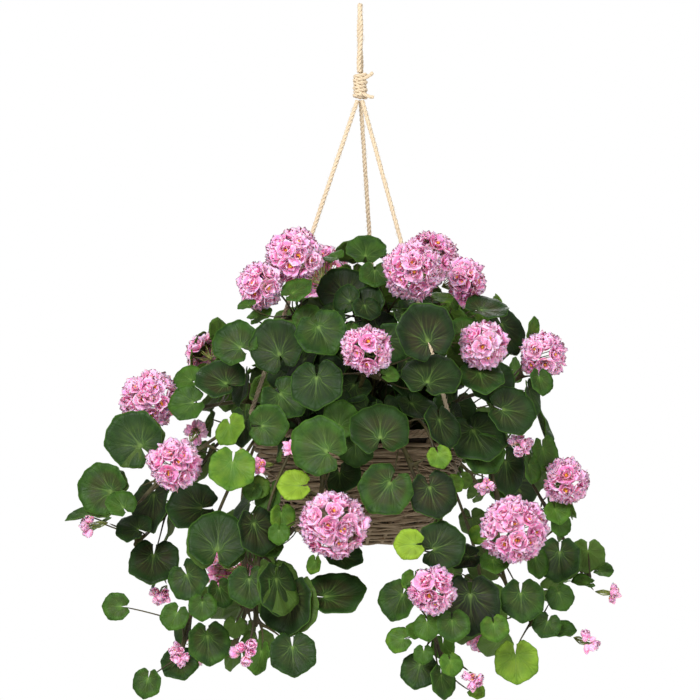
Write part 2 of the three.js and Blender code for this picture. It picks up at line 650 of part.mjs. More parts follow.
// One shoot of a plant, in its own place. All shoots of a plant leave the soil through the same socket.
function growingShoot(shoot, socket) {
  const { stem, heads, leaves } = SHOOTS[shoot.source];
  const route = stem.map((point) => turnPoint(point, shoot));
  return {
    stem: socket ? [...socket, ...route.slice(2)] : route,
    heads: shoot.heads.map((key) => turnRow(heads[key], shoot, shoot.bloom ?? 1)),
    leaves: leaves.filter(([, , z]) => z > (shoot.lowest ?? -Infinity)).map((row) => turnRow(row, shoot, 1)),
  };
}

function growingPlant(shoots) {
  const first = growingShoot(shoots[0]);
  return [first, ...shoots.slice(1).map((shoot) => growingShoot(shoot, first.stem.slice(0, 2)))];
}

// ---------------------------------------------------------------- the holder

function bowlInside() {
  const walls = BOWL_OUTSIDE.slice(1).map(([radius, z]) => [radius - BOWL_WALL, z + 1.4]);
  walls[walls.length - 1][1] = BOWL_OUTSIDE.at(-1)[1];
  return [[BOWL_OUTSIDE[0][0] - 2, BOWL_OUTSIDE[0][1] + BOWL_WALL], ...walls];
}

function makeBowl() {
  const outline = [[0, BOWL_OUTSIDE[0][1]], ...BOWL_OUTSIDE, ...bowlInside().reverse()];
  outline.push([0, BOWL_OUTSIDE[0][1] + BOWL_WALL]);
  return turned(outline, BOWL_SIDES);
}

function makeRim() {
  const ring = new THREE.TorusGeometry(RIM_RADIUS, RIM_ROD, 6, BOWL_SIDES);
  return solidOf(ring.translate(0, 0, RIM_Z));
}

function makeSoil() {
  const inside = bowlInside().map(([radius, z]) => [radius - 2 * GAP, z + GAP]);
  inside.pop();
  const top = inside.at(-1)[0];
  const outline = [[0, inside[0][1]], ...inside];
  outline.push([top * 0.8, SOIL_CROWN_Z - 8], [top * 0.4, SOIL_CROWN_Z - 2], [0, SOIL_CROWN_Z]);
  return turned(outline, BOWL_SIDES);
}

function makeLoop() {
  const curve = new THREE.CatmullRomCurve3(LOOP_ROUTE.map(vector));
  return rod(curve, LOOP_ROPE / 2, 8, 28);
}

// The whipping that gathers the loop and the legs, with the two cut ends of the rope sticking out of it.
function makeBinding() {
  const bulge = 0.6;
  const barrel = turned([
    [0, BINDING_BOTTOM], [BINDING_RADIUS - bulge, BINDING_BOTTOM], [BINDING_RADIUS, BINDING_BOTTOM + 4],
    [BINDING_RADIUS, BINDING_TOP - 4], [BINDING_RADIUS - bulge, BINDING_TOP], [0, BINDING_TOP],
  ], 12);
  const upper = new THREE.LineCurve3(new THREE.Vector3(2, 0, -62), new THREE.Vector3(9, -2, -59.5));
  const lower = new THREE.LineCurve3(new THREE.Vector3(2, -2, -77), new THREE.Vector3(9.5, -4, -79.5));
  return barrel.add(rod(upper, 1.7, 6, 1)).add(rod(lower, 1.7, 6, 1));
}

function legEnds(degrees) {
  const turn = THREE.MathUtils.degToRad(degrees);
  const at = (radius, z) => [radius * Math.cos(turn), radius * Math.sin(turn), z];
  return {
    top: at(2.6, BINDING_BOTTOM - 3 * GAP),
    end: at(RIM_RADIUS + RIM_ROD + LEG_ROPE / 2 + 1.6, RIM_Z + 1),
    knot: at(RIM_RADIUS + RIM_ROD + LEG_KNOT_RADIUS + 0.6, RIM_Z - 1.5),
  };
}

function makeLeg(degrees) {
  const { top, end, knot } = legEnds(degrees);
  const rope = rod(new THREE.LineCurve3(vector(top), vector(end)), LEG_ROPE / 2, 8, 12);
  return rope.add(ball(knot, LEG_KNOT_RADIUS, 8));
}

// ---------------------------------------------------------------- assembly

const group = new THREE.Group();

function addNode(name, solid, finish) {
  const mesh = new THREE.Mesh(geometryOf(solid), finish);
  mesh.name = name;
  group.add(mesh);
}

function makeHolder() {
  const bowl = keep(makeBowl(), 'holder');
  const rim = keep(makeRim(), 'holder');
  const soil = keep(makeSoil(), 'soil');
  addNode('basket_bowl', bowl, MATERIALS.twig);
  addNode('basket_rim', rim, MATERIALS.twig);
  addNode('rope_loop', makeLoop(), MATERIALS.jute);
  addNode('rope_binding', makeBinding(), MATERIALS.jute);
  for (const [side, degrees] of Object.entries(LEG_TURNS)) {
    addNode(`rope_leg_${side}`, keep(makeLeg(degrees), 'holder'), MATERIALS.jute);
  }
  return soil;
}

// The hole in the soil that a plant's stems come out of, from under their feet to above the soil.
function socketSolid([foot, mouth]) {
  const line = new THREE.LineCurve3(vector(foot).add(new THREE.Vector3(0, 0, -2)), vector(mouth));
  return rod(line, STEM_RADIUS + SOCKET_CLEARANCE, 6, 1);
}

function makePlants(soil) {
  const plants = Object.entries(PLANTS).map(([name, shoots]) => {
    const growing = growingPlant(shoots);
    return { name, shoots: growing, socket: growing[0].stem };
  });
  for (const { name, shoots } of plants) {
    for (const shoot of shoots) Object.assign(shoot, { stem: settleStem(name, shoot.stem) });
  }
  for (const plant of plants) {
    const stems = plant.shoots.map(({ stem }) => stem.solid);
    const blooms = plant.shoots.flatMap(({ stem, heads }) => (
      heads.map((row) => growHead(row, stem.curve, plant.name))));
    blooms.forEach(({ solid }, i) => addNode(`flower_${plant.name}_${i + 1}`, solid, MATERIALS.petal));
    plant.pieces = [...stems, ...blooms.map(({ stalk }) => stalk)];
  }
  for (const { name, shoots, pieces } of plants) {
    for (const { stem, leaves } of shoots) {
      for (const row of leaves) pieces.push(growLeaf(row, stem.curve, name));
    }
    addNode(`plant_${name}`, joinPlant(name, pieces), MATERIALS.foliage);
  }
  const sockets = plants.map(({ socket }) => socketSolid(socket));
  addNode('soil', sockets.reduce((sum, socket) => sum.subtract(socket), soil), MATERIALS.soil);
}

makePlants(makeHolder());

export default group;
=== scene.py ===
"""A hanging basket of trailing pink geraniums: jute hanger, twig basket, soil, plants and flower heads.

Lengths are in metres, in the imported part's own frame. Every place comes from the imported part's nodes.
"""

import logging
import math
from collections.abc import Callable
from dataclasses import dataclass
from enum import Enum

import bmesh
import bpy
import numpy as np
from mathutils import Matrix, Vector
from mathutils.bvhtree import BVHTree


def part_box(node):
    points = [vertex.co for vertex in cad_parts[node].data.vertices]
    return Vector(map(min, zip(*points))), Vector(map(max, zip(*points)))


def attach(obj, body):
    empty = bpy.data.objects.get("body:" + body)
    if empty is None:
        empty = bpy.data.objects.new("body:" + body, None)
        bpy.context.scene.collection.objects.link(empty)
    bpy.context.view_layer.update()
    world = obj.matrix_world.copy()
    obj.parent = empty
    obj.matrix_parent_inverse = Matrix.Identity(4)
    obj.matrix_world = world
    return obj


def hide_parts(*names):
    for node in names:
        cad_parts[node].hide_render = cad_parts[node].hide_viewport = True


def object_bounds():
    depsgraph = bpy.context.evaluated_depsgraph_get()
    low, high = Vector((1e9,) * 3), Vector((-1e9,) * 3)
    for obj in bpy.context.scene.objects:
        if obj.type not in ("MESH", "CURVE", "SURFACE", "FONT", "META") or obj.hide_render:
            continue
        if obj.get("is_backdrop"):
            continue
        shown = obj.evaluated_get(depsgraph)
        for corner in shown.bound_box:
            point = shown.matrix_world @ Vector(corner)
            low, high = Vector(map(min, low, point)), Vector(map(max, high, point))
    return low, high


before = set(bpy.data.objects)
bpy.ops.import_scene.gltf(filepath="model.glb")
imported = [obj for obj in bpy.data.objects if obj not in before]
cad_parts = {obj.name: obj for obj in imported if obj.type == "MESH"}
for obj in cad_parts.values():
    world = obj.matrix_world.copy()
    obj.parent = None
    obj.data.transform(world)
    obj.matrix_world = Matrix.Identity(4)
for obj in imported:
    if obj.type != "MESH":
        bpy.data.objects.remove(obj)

MM = 0.001
UP = np.array([0.0, 0.0, 1.0])
ACROSS = np.array([1.0, 0.0, 0.0])
BODY = "root"
# The range of a random phase, in radians.
ANY_PHASE = 6.3
# How far a blade's middle lies past its petiole's point, in radii.
LEAF_LEAD = 0.32

Points = np.ndarray
Socket = bpy.types.NodeSocket

log = logging.getLogger("basket")


def srgb(red: int, green: int, blue: int) -> tuple[float, float, float, float]:
    """Returns a screen colour, 0 to 255 each, as a linear colour with full alpha."""
    shares = (c / 255 for c in (red, green, blue))
    return (*(s / 12.92 if s <= 0.04045 else ((s + 0.055) / 1.055) ** 2.4 for s in shares), 1.0)


def unit(vectors: Points) -> Points:
    """Returns the vectors at length one."""
    return vectors / np.maximum(np.linalg.norm(vectors, axis=-1, keepdims=True), 1e-12)


def square_to(axis: Points) -> tuple[Points, Points]:
    """Returns two directions square to the axes and to each other, each axis with its own pair."""
    helper = np.where(np.abs(axis[..., 2:]) < 0.9, UP, ACROSS)
    first = unit(np.cross(helper, axis))
    return first, np.cross(axis, first)


def sheet_faces(grid: Points) -> Points:
    """Returns the faces of an open sheet, from its grid of point numbers."""
    return np.stack([grid[:-1, :-1], grid[1:, :-1], grid[1:, 1:], grid[:-1, 1:]], -1).reshape(-1, 4)


def sleeve_faces(rings: int, sides: int) -> Points:
    """Returns the faces of a sleeve of closed rings of points, with open ends."""
    i, j = np.arange(rings - 1)[:, None], np.arange(sides)[None]
    here, beside = i * sides + j, i * sides + (j + 1) % sides
    return np.stack([here, beside, beside + sides, here + sides], -1).reshape(-1, 4)


def sleeve_caps(rings: int, sides: int) -> list[Points]:
    """Returns the faces that close the first and the last ring of a sleeve."""
    ring = np.arange(sides)[None]
    return [ring[:, ::-1], ring + (rings - 1) * sides]


# ---------------------------------------------------------------- meshes


class Draft:
    """Points, faces and finish values of one mesh while it is being made."""

    def __init__(self, name: str) -> None:
        """Starts an empty mesh of that name."""
        self.name = name
        self.points: list[Points] = []
        self.faces: list[Points] = []
        self.tints: list[Points] = []
        self.places: list[Points] = []
        self.count = 0

    def add(self, points: Points, faces: list[Points], tint: Points, place: Points) -> None:
        """Adds a patch.

        Args:
            points: one row of three for each point.
            faces: arrays of point numbers, one row for each face, each array with faces of one size.
            tint: four finish values, for the whole patch or for each point.
            place: three surface coordinates, for the whole patch or for each point.
        """
        self.points.append(points)
        self.faces += [f + self.count for f in faces]
        self.tints.append(np.broadcast_to(tint, (len(points), 4)))
        self.places.append(np.broadcast_to(place, (len(points), 3)))
        self.count += len(points)

    def piece(self, finish: "Finish", slot: str, *nodes: str) -> bpy.types.Object:
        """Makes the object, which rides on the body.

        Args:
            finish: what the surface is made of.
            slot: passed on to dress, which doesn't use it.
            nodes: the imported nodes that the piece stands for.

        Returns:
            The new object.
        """
        mesh = bpy.data.meshes.new(self.name)
        points = np.concatenate(self.points).astype(np.float32)
        corners = np.concatenate([f.ravel() for f in self.faces]).astype(np.int32)
        sizes = np.concatenate([np.full(len(f), f.shape[1]) for f in self.faces])
        mesh.vertices.add(len(points))
        mesh.vertices.foreach_set("co", points.ravel())
        mesh.loops.add(len(corners))
        mesh.loops.foreach_set("vertex_index", corners)
        mesh.polygons.add(len(sizes))
        starts = np.concatenate([[0], np.cumsum(sizes)[:-1]]).astype(np.int32)
        mesh.polygons.foreach_set("loop_start", starts)
        mesh.update(calc_edges=True)
        mesh.shade_smooth()
        tint = mesh.attributes.new("tint", "FLOAT_COLOR", "POINT")
        tint.data.foreach_set("color", np.concatenate(self.tints).astype(np.float32).ravel())
        place = mesh.attributes.new("place", "FLOAT_VECTOR", "POINT")
        place.data.foreach_set("vector", np.concatenate(self.places).astype(np.float32).ravel())
        return dress(bpy.data.objects.new(self.name, mesh), finish, slot, *nodes)


def dress(piece: bpy.types.Object, finish: "Finish", slot: str, *nodes: str) -> bpy.types.Object:
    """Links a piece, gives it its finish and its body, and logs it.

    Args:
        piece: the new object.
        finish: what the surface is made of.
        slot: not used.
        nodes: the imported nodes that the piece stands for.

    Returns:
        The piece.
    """
    bpy.context.scene.collection.objects.link(piece)
    piece.data.materials.clear()
    piece.data.materials.append(finish.material())
    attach(piece, BODY)
    if nodes:
        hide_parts(*nodes)
    log.info("%s: %d faces", piece.name, len(piece.data.polygons))
    return piece


def tube(
    path: Points, radius: Points | float, sides: int, guide: Points, closed: bool = False
) -> tuple[Points, list[Points], Points]:
    """Makes a round tube along a path.

    Args:
        path: the middle of each ring.
        radius: one radius, or one for each ring.
        sides: the corners of a ring.
        guide: a direction that the path never runs along, which keeps the rings from turning.
        closed: whether the last ring joins the first.

    Returns:
        The points, the faces, and a place for each point: how far along it is, and the cosine and the sine
        of its turn about the path.
    """
    count = len(path)
    along = np.roll(path, -1, 0) - np.roll(path, 1, 0) if closed else np.gradient(path, axis=0)
    along = unit(along)
    right = unit(np.cross(along, guide))
    over = np.cross(along, right)
    turn = 2 * math.pi * np.arange(sides) / sides
    ring = right[:, None] * np.cos(turn)[None, :, None] + over[:, None] * np.sin(turn)[None, :, None]
    points = path[:, None] + np.broadcast_to(radius, count)[:, None, None] * ring
    run = np.concatenate([[0], np.cumsum(np.linalg.norm(np.diff(path, axis=0), axis=1))])
    place = np.stack(np.broadcast_arrays(run[:, None], np.cos(turn), np.sin(turn)), -1).reshape(-1, 3)
    i = np.arange(count if closed else count - 1)[:, None]
    j = np.arange(sides)[None]
    here, beside = i * sides + j, i * sides + (j + 1) % sides
    after, across = (i + 1) % count * sides + j, (i + 1) % count * sides + (j + 1) % sides
    faces = [np.stack([here, beside, across, after], -1).reshape(-1, 4)]
    points = points.reshape(-1, 3)
    if closed:
        return points, faces, place
    last = (count - 1) * sides + j[0]
    total = count * sides
    faces.append(np.stack([np.full(sides, total), (j[0] + 1) % sides, j[0]], -1))
    faces.append(np.stack([np.full(sides, total + 1), last, np.roll(last, -1)], -1))
    bulge = np.broadcast_to(radius, count)[[0, -1], None] * np.array([[-0.5], [0.5]])
    ends = path[[0, -1]] + along[[0, -1]] * bulge
    return np.concatenate([points, ends]), faces, np.concatenate([place, [[0, 0, 0], [run[-1], 0, 0]]])


def smooth_path(route: Points, step: float) -> Points:
    """Runs one smooth curve through every point of a route, with a point about every step."""
    ends = np.concatenate([[2 * route[0] - route[1]], route, [2 * route[-1] - route[-2]]])
    pieces = []
    for before, start, end, after in zip(ends, ends[1:], ends[2:], ends[3:]):
        count = max(2, math.ceil(float(np.linalg.norm(end - start)) / step))
        t = np.linspace(0, 1, count, endpoint=False)[:, None]
        pieces.append(
            0.5
            * (
                2 * start
                + (end - before) * t
                + (2 * before - 5 * start + 4 * end - after) * t**2
                + (3 * start - before - 3 * end + after) * t**3
            )
        )
    return np.concatenate([*pieces, route[-1:]])


class Blob:
    """A rounded lump with twelve points, for crumbs and stamens."""

    LONG = (1 + math.sqrt(5)) / 2
    POINTS = unit(
        np.array(
            [(-1, LONG, 0), (1, LONG, 0), (-1, -LONG, 0), (1, -LONG, 0), (0, -1, LONG), (0, 1, LONG)]
            + [(0, -1, -LONG), (0, 1, -LONG), (LONG, 0, -1), (LONG, 0, 1), (-LONG, 0, -1), (-LONG, 0, 1)]
        )
    )
    FACES = np.array(
        [(0, 11, 5), (0, 5, 1), (0, 1, 7), (0, 7, 10), (0, 10, 11), (1, 5, 9), (5, 11, 4), (11, 10, 2)]
        + [(10, 7, 6), (7, 1, 8), (3, 9, 4), (3, 4, 2), (3, 2, 6), (3, 6, 8), (3, 8, 9), (4, 9, 5)]
        + [(2, 4, 11), (6, 2, 10), (8, 6, 7), (9, 8, 1)]
    )

    @classmethod
    def scatter(cls, draft: Draft, centres: Points, sizes: Points, tints: Points) -> None:
        """Adds one lump at each centre, with a size along each axis and its own tint."""
        points = centres[:, None] + cls.POINTS[None] * sizes[:, None]
        faces = cls.FACES[None] + (12 * np.arange(len(centres)))[:, None, None]
        place = np.tile(cls.POINTS, (len(centres), 1))
        draft.add(points.reshape(-1, 3), [faces.reshape(-1, 3)], np.repeat(tints, 12, 0), place)


# ---------------------------------------------------------------- shader nodes


class Wiring:
    """Adds nodes to one node tree and links them."""

    def __init__(self, tree: bpy.types.NodeTree) -> None:
        """Works on that tree."""
        self.tree = tree

    def feed(self, socket: Socket, value: object) -> None:
        """Links a socket to the input, or sets the input to a plain value."""
        if isinstance(value, Socket):
            self.tree.links.new(value, socket)
        else:
            socket.default_value = value

    def add(self, kind: str, inputs: dict | None = None, **settings: object) -> bpy.types.Node:
        """Adds a node.

        Args:
            kind: the node's type.
            inputs: what each input takes, by name or number.
            settings: the node's own properties.

        Returns:
            The node.
        """
        node = self.tree.nodes.new(kind)
        for key, value in settings.items():
            setattr(node, key, value)
        for key, value in (inputs or {}).items():
            self.feed(node.inputs[key], value)
        return node

    def math(self, operation: str, a: Socket | float, b: Socket | float = 0.0) -> Socket:
        """Returns the result of a Math node."""
        return self.add("ShaderNodeMath", {0: a, 1: b}, operation=operation).outputs[0]

    def times(self, a: Socket | float, b: Socket | float) -> Socket:
        """Returns a multiplied by b."""
        return self.math("MULTIPLY", a, b)

    def plus(self, a: Socket | float, b: Socket | float) -> Socket:
        """Returns a and b added together."""
        return self.math("ADD", a, b)

    def minus(self, a: Socket | float, b: Socket | float) -> Socket:
        """Returns a less b."""
        return self.math("SUBTRACT", a, b)

    def step(self, value: Socket, start: float | Socket, end: float | Socket, top: float = 1.0) -> Socket:
        """Returns a smooth step that is 0 at start and top at end."""
        ends = {"Value": value, "From Min": start, "From Max": end, "To Max": top}
        return self.add("ShaderNodeMapRange", ends, interpolation_type="SMOOTHSTEP").outputs[0]

    def mix(self, share: Socket | float, a: object, b: object, blend: str = "MIX") -> Socket:
        """Returns colour a mixed with colour b."""
        node = self.add("ShaderNodeMix", data_type="RGBA", blend_type=blend)
        for index, value in ((0, share), (6, a), (7, b)):
            self.feed(node.inputs[index], value)
        return node.outputs[2]

    def ramp(self, value: Socket, stops: tuple) -> Socket:
        """Returns the colour at value on a ramp of (position, colour) stops."""
        node = self.add("ShaderNodeValToRGB", {0: value})
        elements = node.color_ramp.elements
        while len(elements) < len(stops):
            elements.new(0.5)
        for element, (position, colour) in zip(elements, stops):
            element.position = position
            element.color = colour
        return node.outputs[0]

    def noise(self, point: Socket, scale: float | Socket, detail: float = 3.0) -> Socket:
        """Returns soft noise from 0 to 1."""
        inputs = {"Vector": point, "Scale": scale, "Detail": detail}
        return self.add("ShaderNodeTexNoise", inputs).outputs[0]

    def parts(self, vector: Socket) -> tuple[Socket, Socket, Socket]:
        """Returns the three parts of a vector."""
        return tuple(self.add("ShaderNodeSeparateXYZ", {0: vector}).outputs)

    def join(self, x: Socket | float, y: Socket | float, z: Socket | float) -> Socket:
        """Returns a vector of three parts."""
        return self.add("ShaderNodeCombineXYZ", {0: x, 1: y, 2: z}).outputs[0]

    def tint(self) -> tuple[Socket, Socket, Socket, Socket]:
        """Returns the four finish values of the mesh."""
        node = self.add("ShaderNodeAttribute", attribute_name="tint")
        return (*self.parts(node.outputs["Color"]), node.outputs["Alpha"])

    def place(self) -> Socket:
        """Returns the surface coordinates of the mesh."""
        return self.add("ShaderNodeAttribute", attribute_name="place").outputs["Vector"]

    def point(self) -> Socket:
        """Returns the place on the object."""
        return self.add("ShaderNodeTexCoord").outputs["Object"]

    def bump(self, height: Socket, strength: float, distance: float) -> Socket:
        """Returns the normal that a height gives."""
        inputs = {"Height": height, "Strength": strength, "Distance": distance}
        return self.add("ShaderNodeBump", inputs).outputs[0]


class Effect(Enum):
    """Surface effects that several finishes share, each one node group."""

    MOTTLE = "mottle"
    FIBRE = "fibre"
    RIBS = "ribs"

    def group(self) -> bpy.types.NodeTree:
        """Returns the effect's node group, made the first time it is asked for."""
        found = bpy.data.node_groups.get(self.value)
        if found:
            return found
        makers: dict[Effect, Callable[[], bpy.types.NodeTree]] = {
            Effect.MOTTLE: mottle_group,
            Effect.FIBRE: fibre_group,
            Effect.RIBS: ribs_group,
        }
        return makers[self]()

    def place_in(self, wiring: Wiring, **inputs: object) -> bpy.types.bpy_prop_collection:
        """Puts the group in a tree with its own values, and returns its outputs."""
        node = wiring.add("ShaderNodeGroup", node_tree=self.group())
        for name, value in inputs.items():
            wiring.feed(node.inputs[name], value)
        return node.outputs


def new_group(
    effect: Effect, inputs: dict[str, str], outputs: tuple[str, ...]
) -> tuple[Wiring, dict[str, Socket], bpy.types.Node]:
    """Starts a node group.

    Args:
        effect: the effect it makes.
        inputs: each input's name and kind of socket.
        outputs: the names of its outputs, all of them single values.

    Returns:
        Its wiring, its inputs by name and its output node.
    """
    tree = bpy.data.node_groups.new(effect.value, "ShaderNodeTree")
    for name, kind in inputs.items():
        tree.interface.new_socket(name=name, in_out="INPUT", socket_type=f"NodeSocket{kind}")
    for name in outputs:
        tree.interface.new_socket(name=name, in_out="OUTPUT", socket_type="NodeSocketFloat")
    wiring = Wiring(tree)
    sockets = wiring.add("NodeGroupInput").outputs
    return wiring, {name: sockets[name] for name in inputs}, wiring.add("NodeGroupOutput")


def mottle_group() -> bpy.types.NodeTree:
    """Makes soft blotches and fine speckle, both from 0 to 1."""
    wiring, given, result = new_group(Effect.MOTTLE, {"Point": "Vector", "Scale": "Float"}, ("Broad", "Fine"))
    broad = wiring.noise(given["Point"], given["Scale"])
    fine = wiring.noise(given["Point"], wiring.times(given["Scale"], 9.0), 4.0)
    wiring.feed(result.inputs["Broad"], wiring.step(broad, 0.3, 0.7))
    wiring.feed(result.inputs["Fine"], wiring.step(fine, 0.25, 0.75))
    return wiring.tree


def fibre_group() -> bpy.types.NodeTree:
    """Makes streaks that run along a strand, with broader patches: grain and patch, both from 0 to 1."""
    inputs = {"Place": "Vector", "Stretch": "Float", "Seed": "Float"}
    wiring, given, result = new_group(Effect.FIBRE, inputs, ("Grain", "Patch"))
    along, cosine, sine = wiring.parts(given["Place"])
    run = wiring.plus(wiring.times(along, given["Stretch"]), wiring.times(given["Seed"], 40.0))
    grain = wiring.noise(wiring.join(run, wiring.times(cosine, 3.0), wiring.times(sine, 3.0)), 2.2)
    patch = wiring.noise(wiring.join(wiring.times(run, 0.35), cosine, given["Seed"]), 1.0)
    wiring.feed(result.inputs["Grain"], wiring.step(grain, 0.3, 0.7))
    wiring.feed(result.inputs["Patch"], wiring.step(patch, 0.3, 0.7))
    return wiring.tree


def ribs_group() -> bpy.types.NodeTree:
    """Makes veins that run outward and fork.

    Phase is a whole number on each main vein, Reach runs from 0 at their root to 1 at the edge, Spread is how
    far apart neighbouring veins are at the edge, and Width is a vein's width. Vein is 1 on the veins.
    """
    inputs = {"Phase": "Float", "Reach": "Float", "Spread": "Float", "Width": "Float"}
    wiring, given, result = new_group(Effect.RIBS, inputs, ("Vein",))
    off = wiring.math("ABSOLUTE", wiring.minus(given["Phase"], wiring.math("ROUND", given["Phase"])))
    spread = wiring.times(given["Reach"], given["Spread"])
    thin = wiring.times(given["Width"], wiring.minus(1.25, given["Reach"]))

    def line(apart: Socket, share: float) -> Socket:
        """Returns 1 where the distance from a vein is nothing, and 0 past its width."""
        width = wiring.times(thin, share)
        return wiring.step(wiring.times(apart, spread), width, 0.0)

    main = line(off, 1.0)
    total = main
    for slope, start, share in ((0.36, 0.3, 0.75), (0.62, 0.55, 0.6), (0.14, 0.68, 0.55)):
        fork = wiring.times(wiring.minus(given["Reach"], start), slope)
        apart = wiring.math("ABSOLUTE", wiring.minus(off, fork))
        begun = wiring.step(given["Reach"], start, start + 0.08)
        total = wiring.math("MAXIMUM", total, wiring.times(line(apart, share), begun))
    wiring.feed(result.inputs["Vein"], total)
    return wiring.tree


# ---------------------------------------------------------------- finishes


class Finish:
    """A surface finish with one material."""

    name: str

    def wire(self, wiring: Wiring, surface: bpy.types.Node) -> None:
        """Feeds the surface's colour, roughness and normal."""
        raise NotImplementedError

    def material(self) -> bpy.types.Material:
        """Returns the finish's material, made the first time it is asked for."""
        found = bpy.data.materials.get(self.name)
        if found:
            return found
        material = bpy.data.materials.new(self.name)
        material.use_nodes = True
        material.node_tree.nodes.clear()
        wiring = Wiring(material.node_tree)
        surface = wiring.add("ShaderNodeBsdfPrincipled")
        self.wire(wiring, surface)
        wiring.add("ShaderNodeOutputMaterial", {"Surface": surface.outputs[0]})
        return material


@dataclass(frozen=True)
class MottledFinish(Finish):
    """A rough natural surface that varies softly between two colours."""

    name: str
    dark: tuple
    light: tuple
    scale: float = 60.0
    roughness: float = 0.75
    relief: float = 0.3 * MM
    gloss: float = 0.3

    def wire(self, wiring: Wiring, surface: bpy.types.Node) -> None:
        """Mixes the two colours by blotches, speckle and each lump's own tint."""
        mottle = Effect.MOTTLE.place_in(wiring, Point=wiring.point(), Scale=self.scale)
        own = wiring.tint()[0]
        share = wiring.plus(wiring.times(mottle["Broad"], 0.45), wiring.times(own, 0.35))
        share = wiring.plus(share, wiring.times(mottle["Fine"], 0.2))
        wiring.feed(surface.inputs["Base Color"], wiring.mix(share, self.dark, self.light))
        rough = wiring.plus(wiring.times(mottle["Fine"], 0.2), self.roughness - 0.1)
        wiring.feed(surface.inputs["Roughness"], rough)
        wiring.feed(surface.inputs["Normal"], wiring.bump(mottle["Fine"], 0.8, self.relief))
        surface.inputs["Specular IOR Level"].default_value = self.gloss


@dataclass(frozen=True)
class FibreFinish(Finish):
    """A strand with streaks along it, such as jute or a twig."""

    name: str
    deep: tuple
    middle: tuple
    bright: tuple
    stretch: float
    roughness: float = 0.8
    relief: float = 0.4 * MM

    def wire(self, wiring: Wiring, surface: bpy.types.Node) -> None:
        """Streaks the three colours along the strand, each strand with its own shade."""
        own, worn = wiring.tint()[:2]
        streaks = Effect.FIBRE.place_in(wiring, Place=wiring.place(), Stretch=self.stretch, Seed=own)
        share = wiring.plus(wiring.times(streaks["Grain"], 0.5), wiring.times(own, 0.3))
        share = wiring.plus(share, wiring.times(streaks["Patch"], 0.2))
        share = wiring.plus(share, wiring.times(worn, 0.3))
        colour = wiring.ramp(share, ((0.12, self.deep), (0.5, self.middle), (0.92, self.bright)))
        wiring.feed(surface.inputs["Base Color"], colour)
        rough = wiring.minus(self.roughness, wiring.times(streaks["Grain"], 0.15))
        wiring.feed(surface.inputs["Roughness"], rough)
        wiring.feed(surface.inputs["Normal"], wiring.bump(streaks["Grain"], 0.9, self.relief))
        surface.inputs["Specular IOR Level"].default_value = 0.15


@dataclass(frozen=True)
class LeafFinish(Finish):
    """A leaf: pale radiating veins, a brown band round the middle, a light margin and a pale underside."""

    name: str
    tones: tuple
    band: tuple
    vein: tuple
    margin: tuple
    under: tuple

    def wire(self, wiring: Wiring, surface: bpy.types.Node) -> None:
        """Lays the tone, the band, the veins, the margin and the underside over each other."""
        tone, zone, warm, under = wiring.tint()
        phase, reach, _ = wiring.parts(wiring.place())
        mottle = Effect.MOTTLE.place_in(wiring, Point=wiring.point(), Scale=95.0)
        ribs = Effect.RIBS.place_in(wiring, Phase=phase, Reach=reach, Spread=0.85, Width=0.034)
        thirds = wiring.times(phase, 3.0)
        fine = Effect.RIBS.place_in(wiring, Phase=thirds, Reach=reach, Spread=0.3, Width=0.03)
        shifted = wiring.plus(tone, wiring.times(wiring.minus(mottle["Broad"], 0.5), 0.16))
        colour = wiring.ramp(shifted, self.tones)
        colour = wiring.mix(wiring.times(warm, 0.35), colour, self.margin)
        inner = wiring.step(reach, 0.16, 0.42)
        outer = wiring.step(reach, 0.82, 0.58)
        ring = wiring.times(wiring.times(inner, outer), zone)
        ring = wiring.times(ring, wiring.plus(wiring.times(mottle["Broad"], 0.6), 0.4))
        colour = wiring.mix(ring, colour, self.band)
        veins = wiring.math("MAXIMUM", ribs["Vein"], wiring.times(fine["Vein"], 0.35))
        fade = wiring.step(reach, 0.95, 0.05, 0.45)
        colour = wiring.mix(wiring.times(veins, fade), colour, self.vein)
        colour = wiring.mix(wiring.step(reach, 0.11, 0.02, 0.6), colour, self.vein)
        colour = wiring.mix(wiring.step(reach, 0.955, 1.0, 0.45), colour, self.margin)
        colour = wiring.mix(wiring.times(under, 0.5), colour, self.under)
        wiring.feed(surface.inputs["Base Color"], colour)
        wiring.feed(surface.inputs["Roughness"], wiring.plus(wiring.times(mottle["Fine"], 0.22), 0.46))
        height = wiring.minus(wiring.times(mottle["Fine"], 0.25), veins)
        wiring.feed(surface.inputs["Normal"], wiring.bump(height, 0.7, 0.35 * MM))
        surface.inputs["Specular IOR Level"].default_value = 0.22


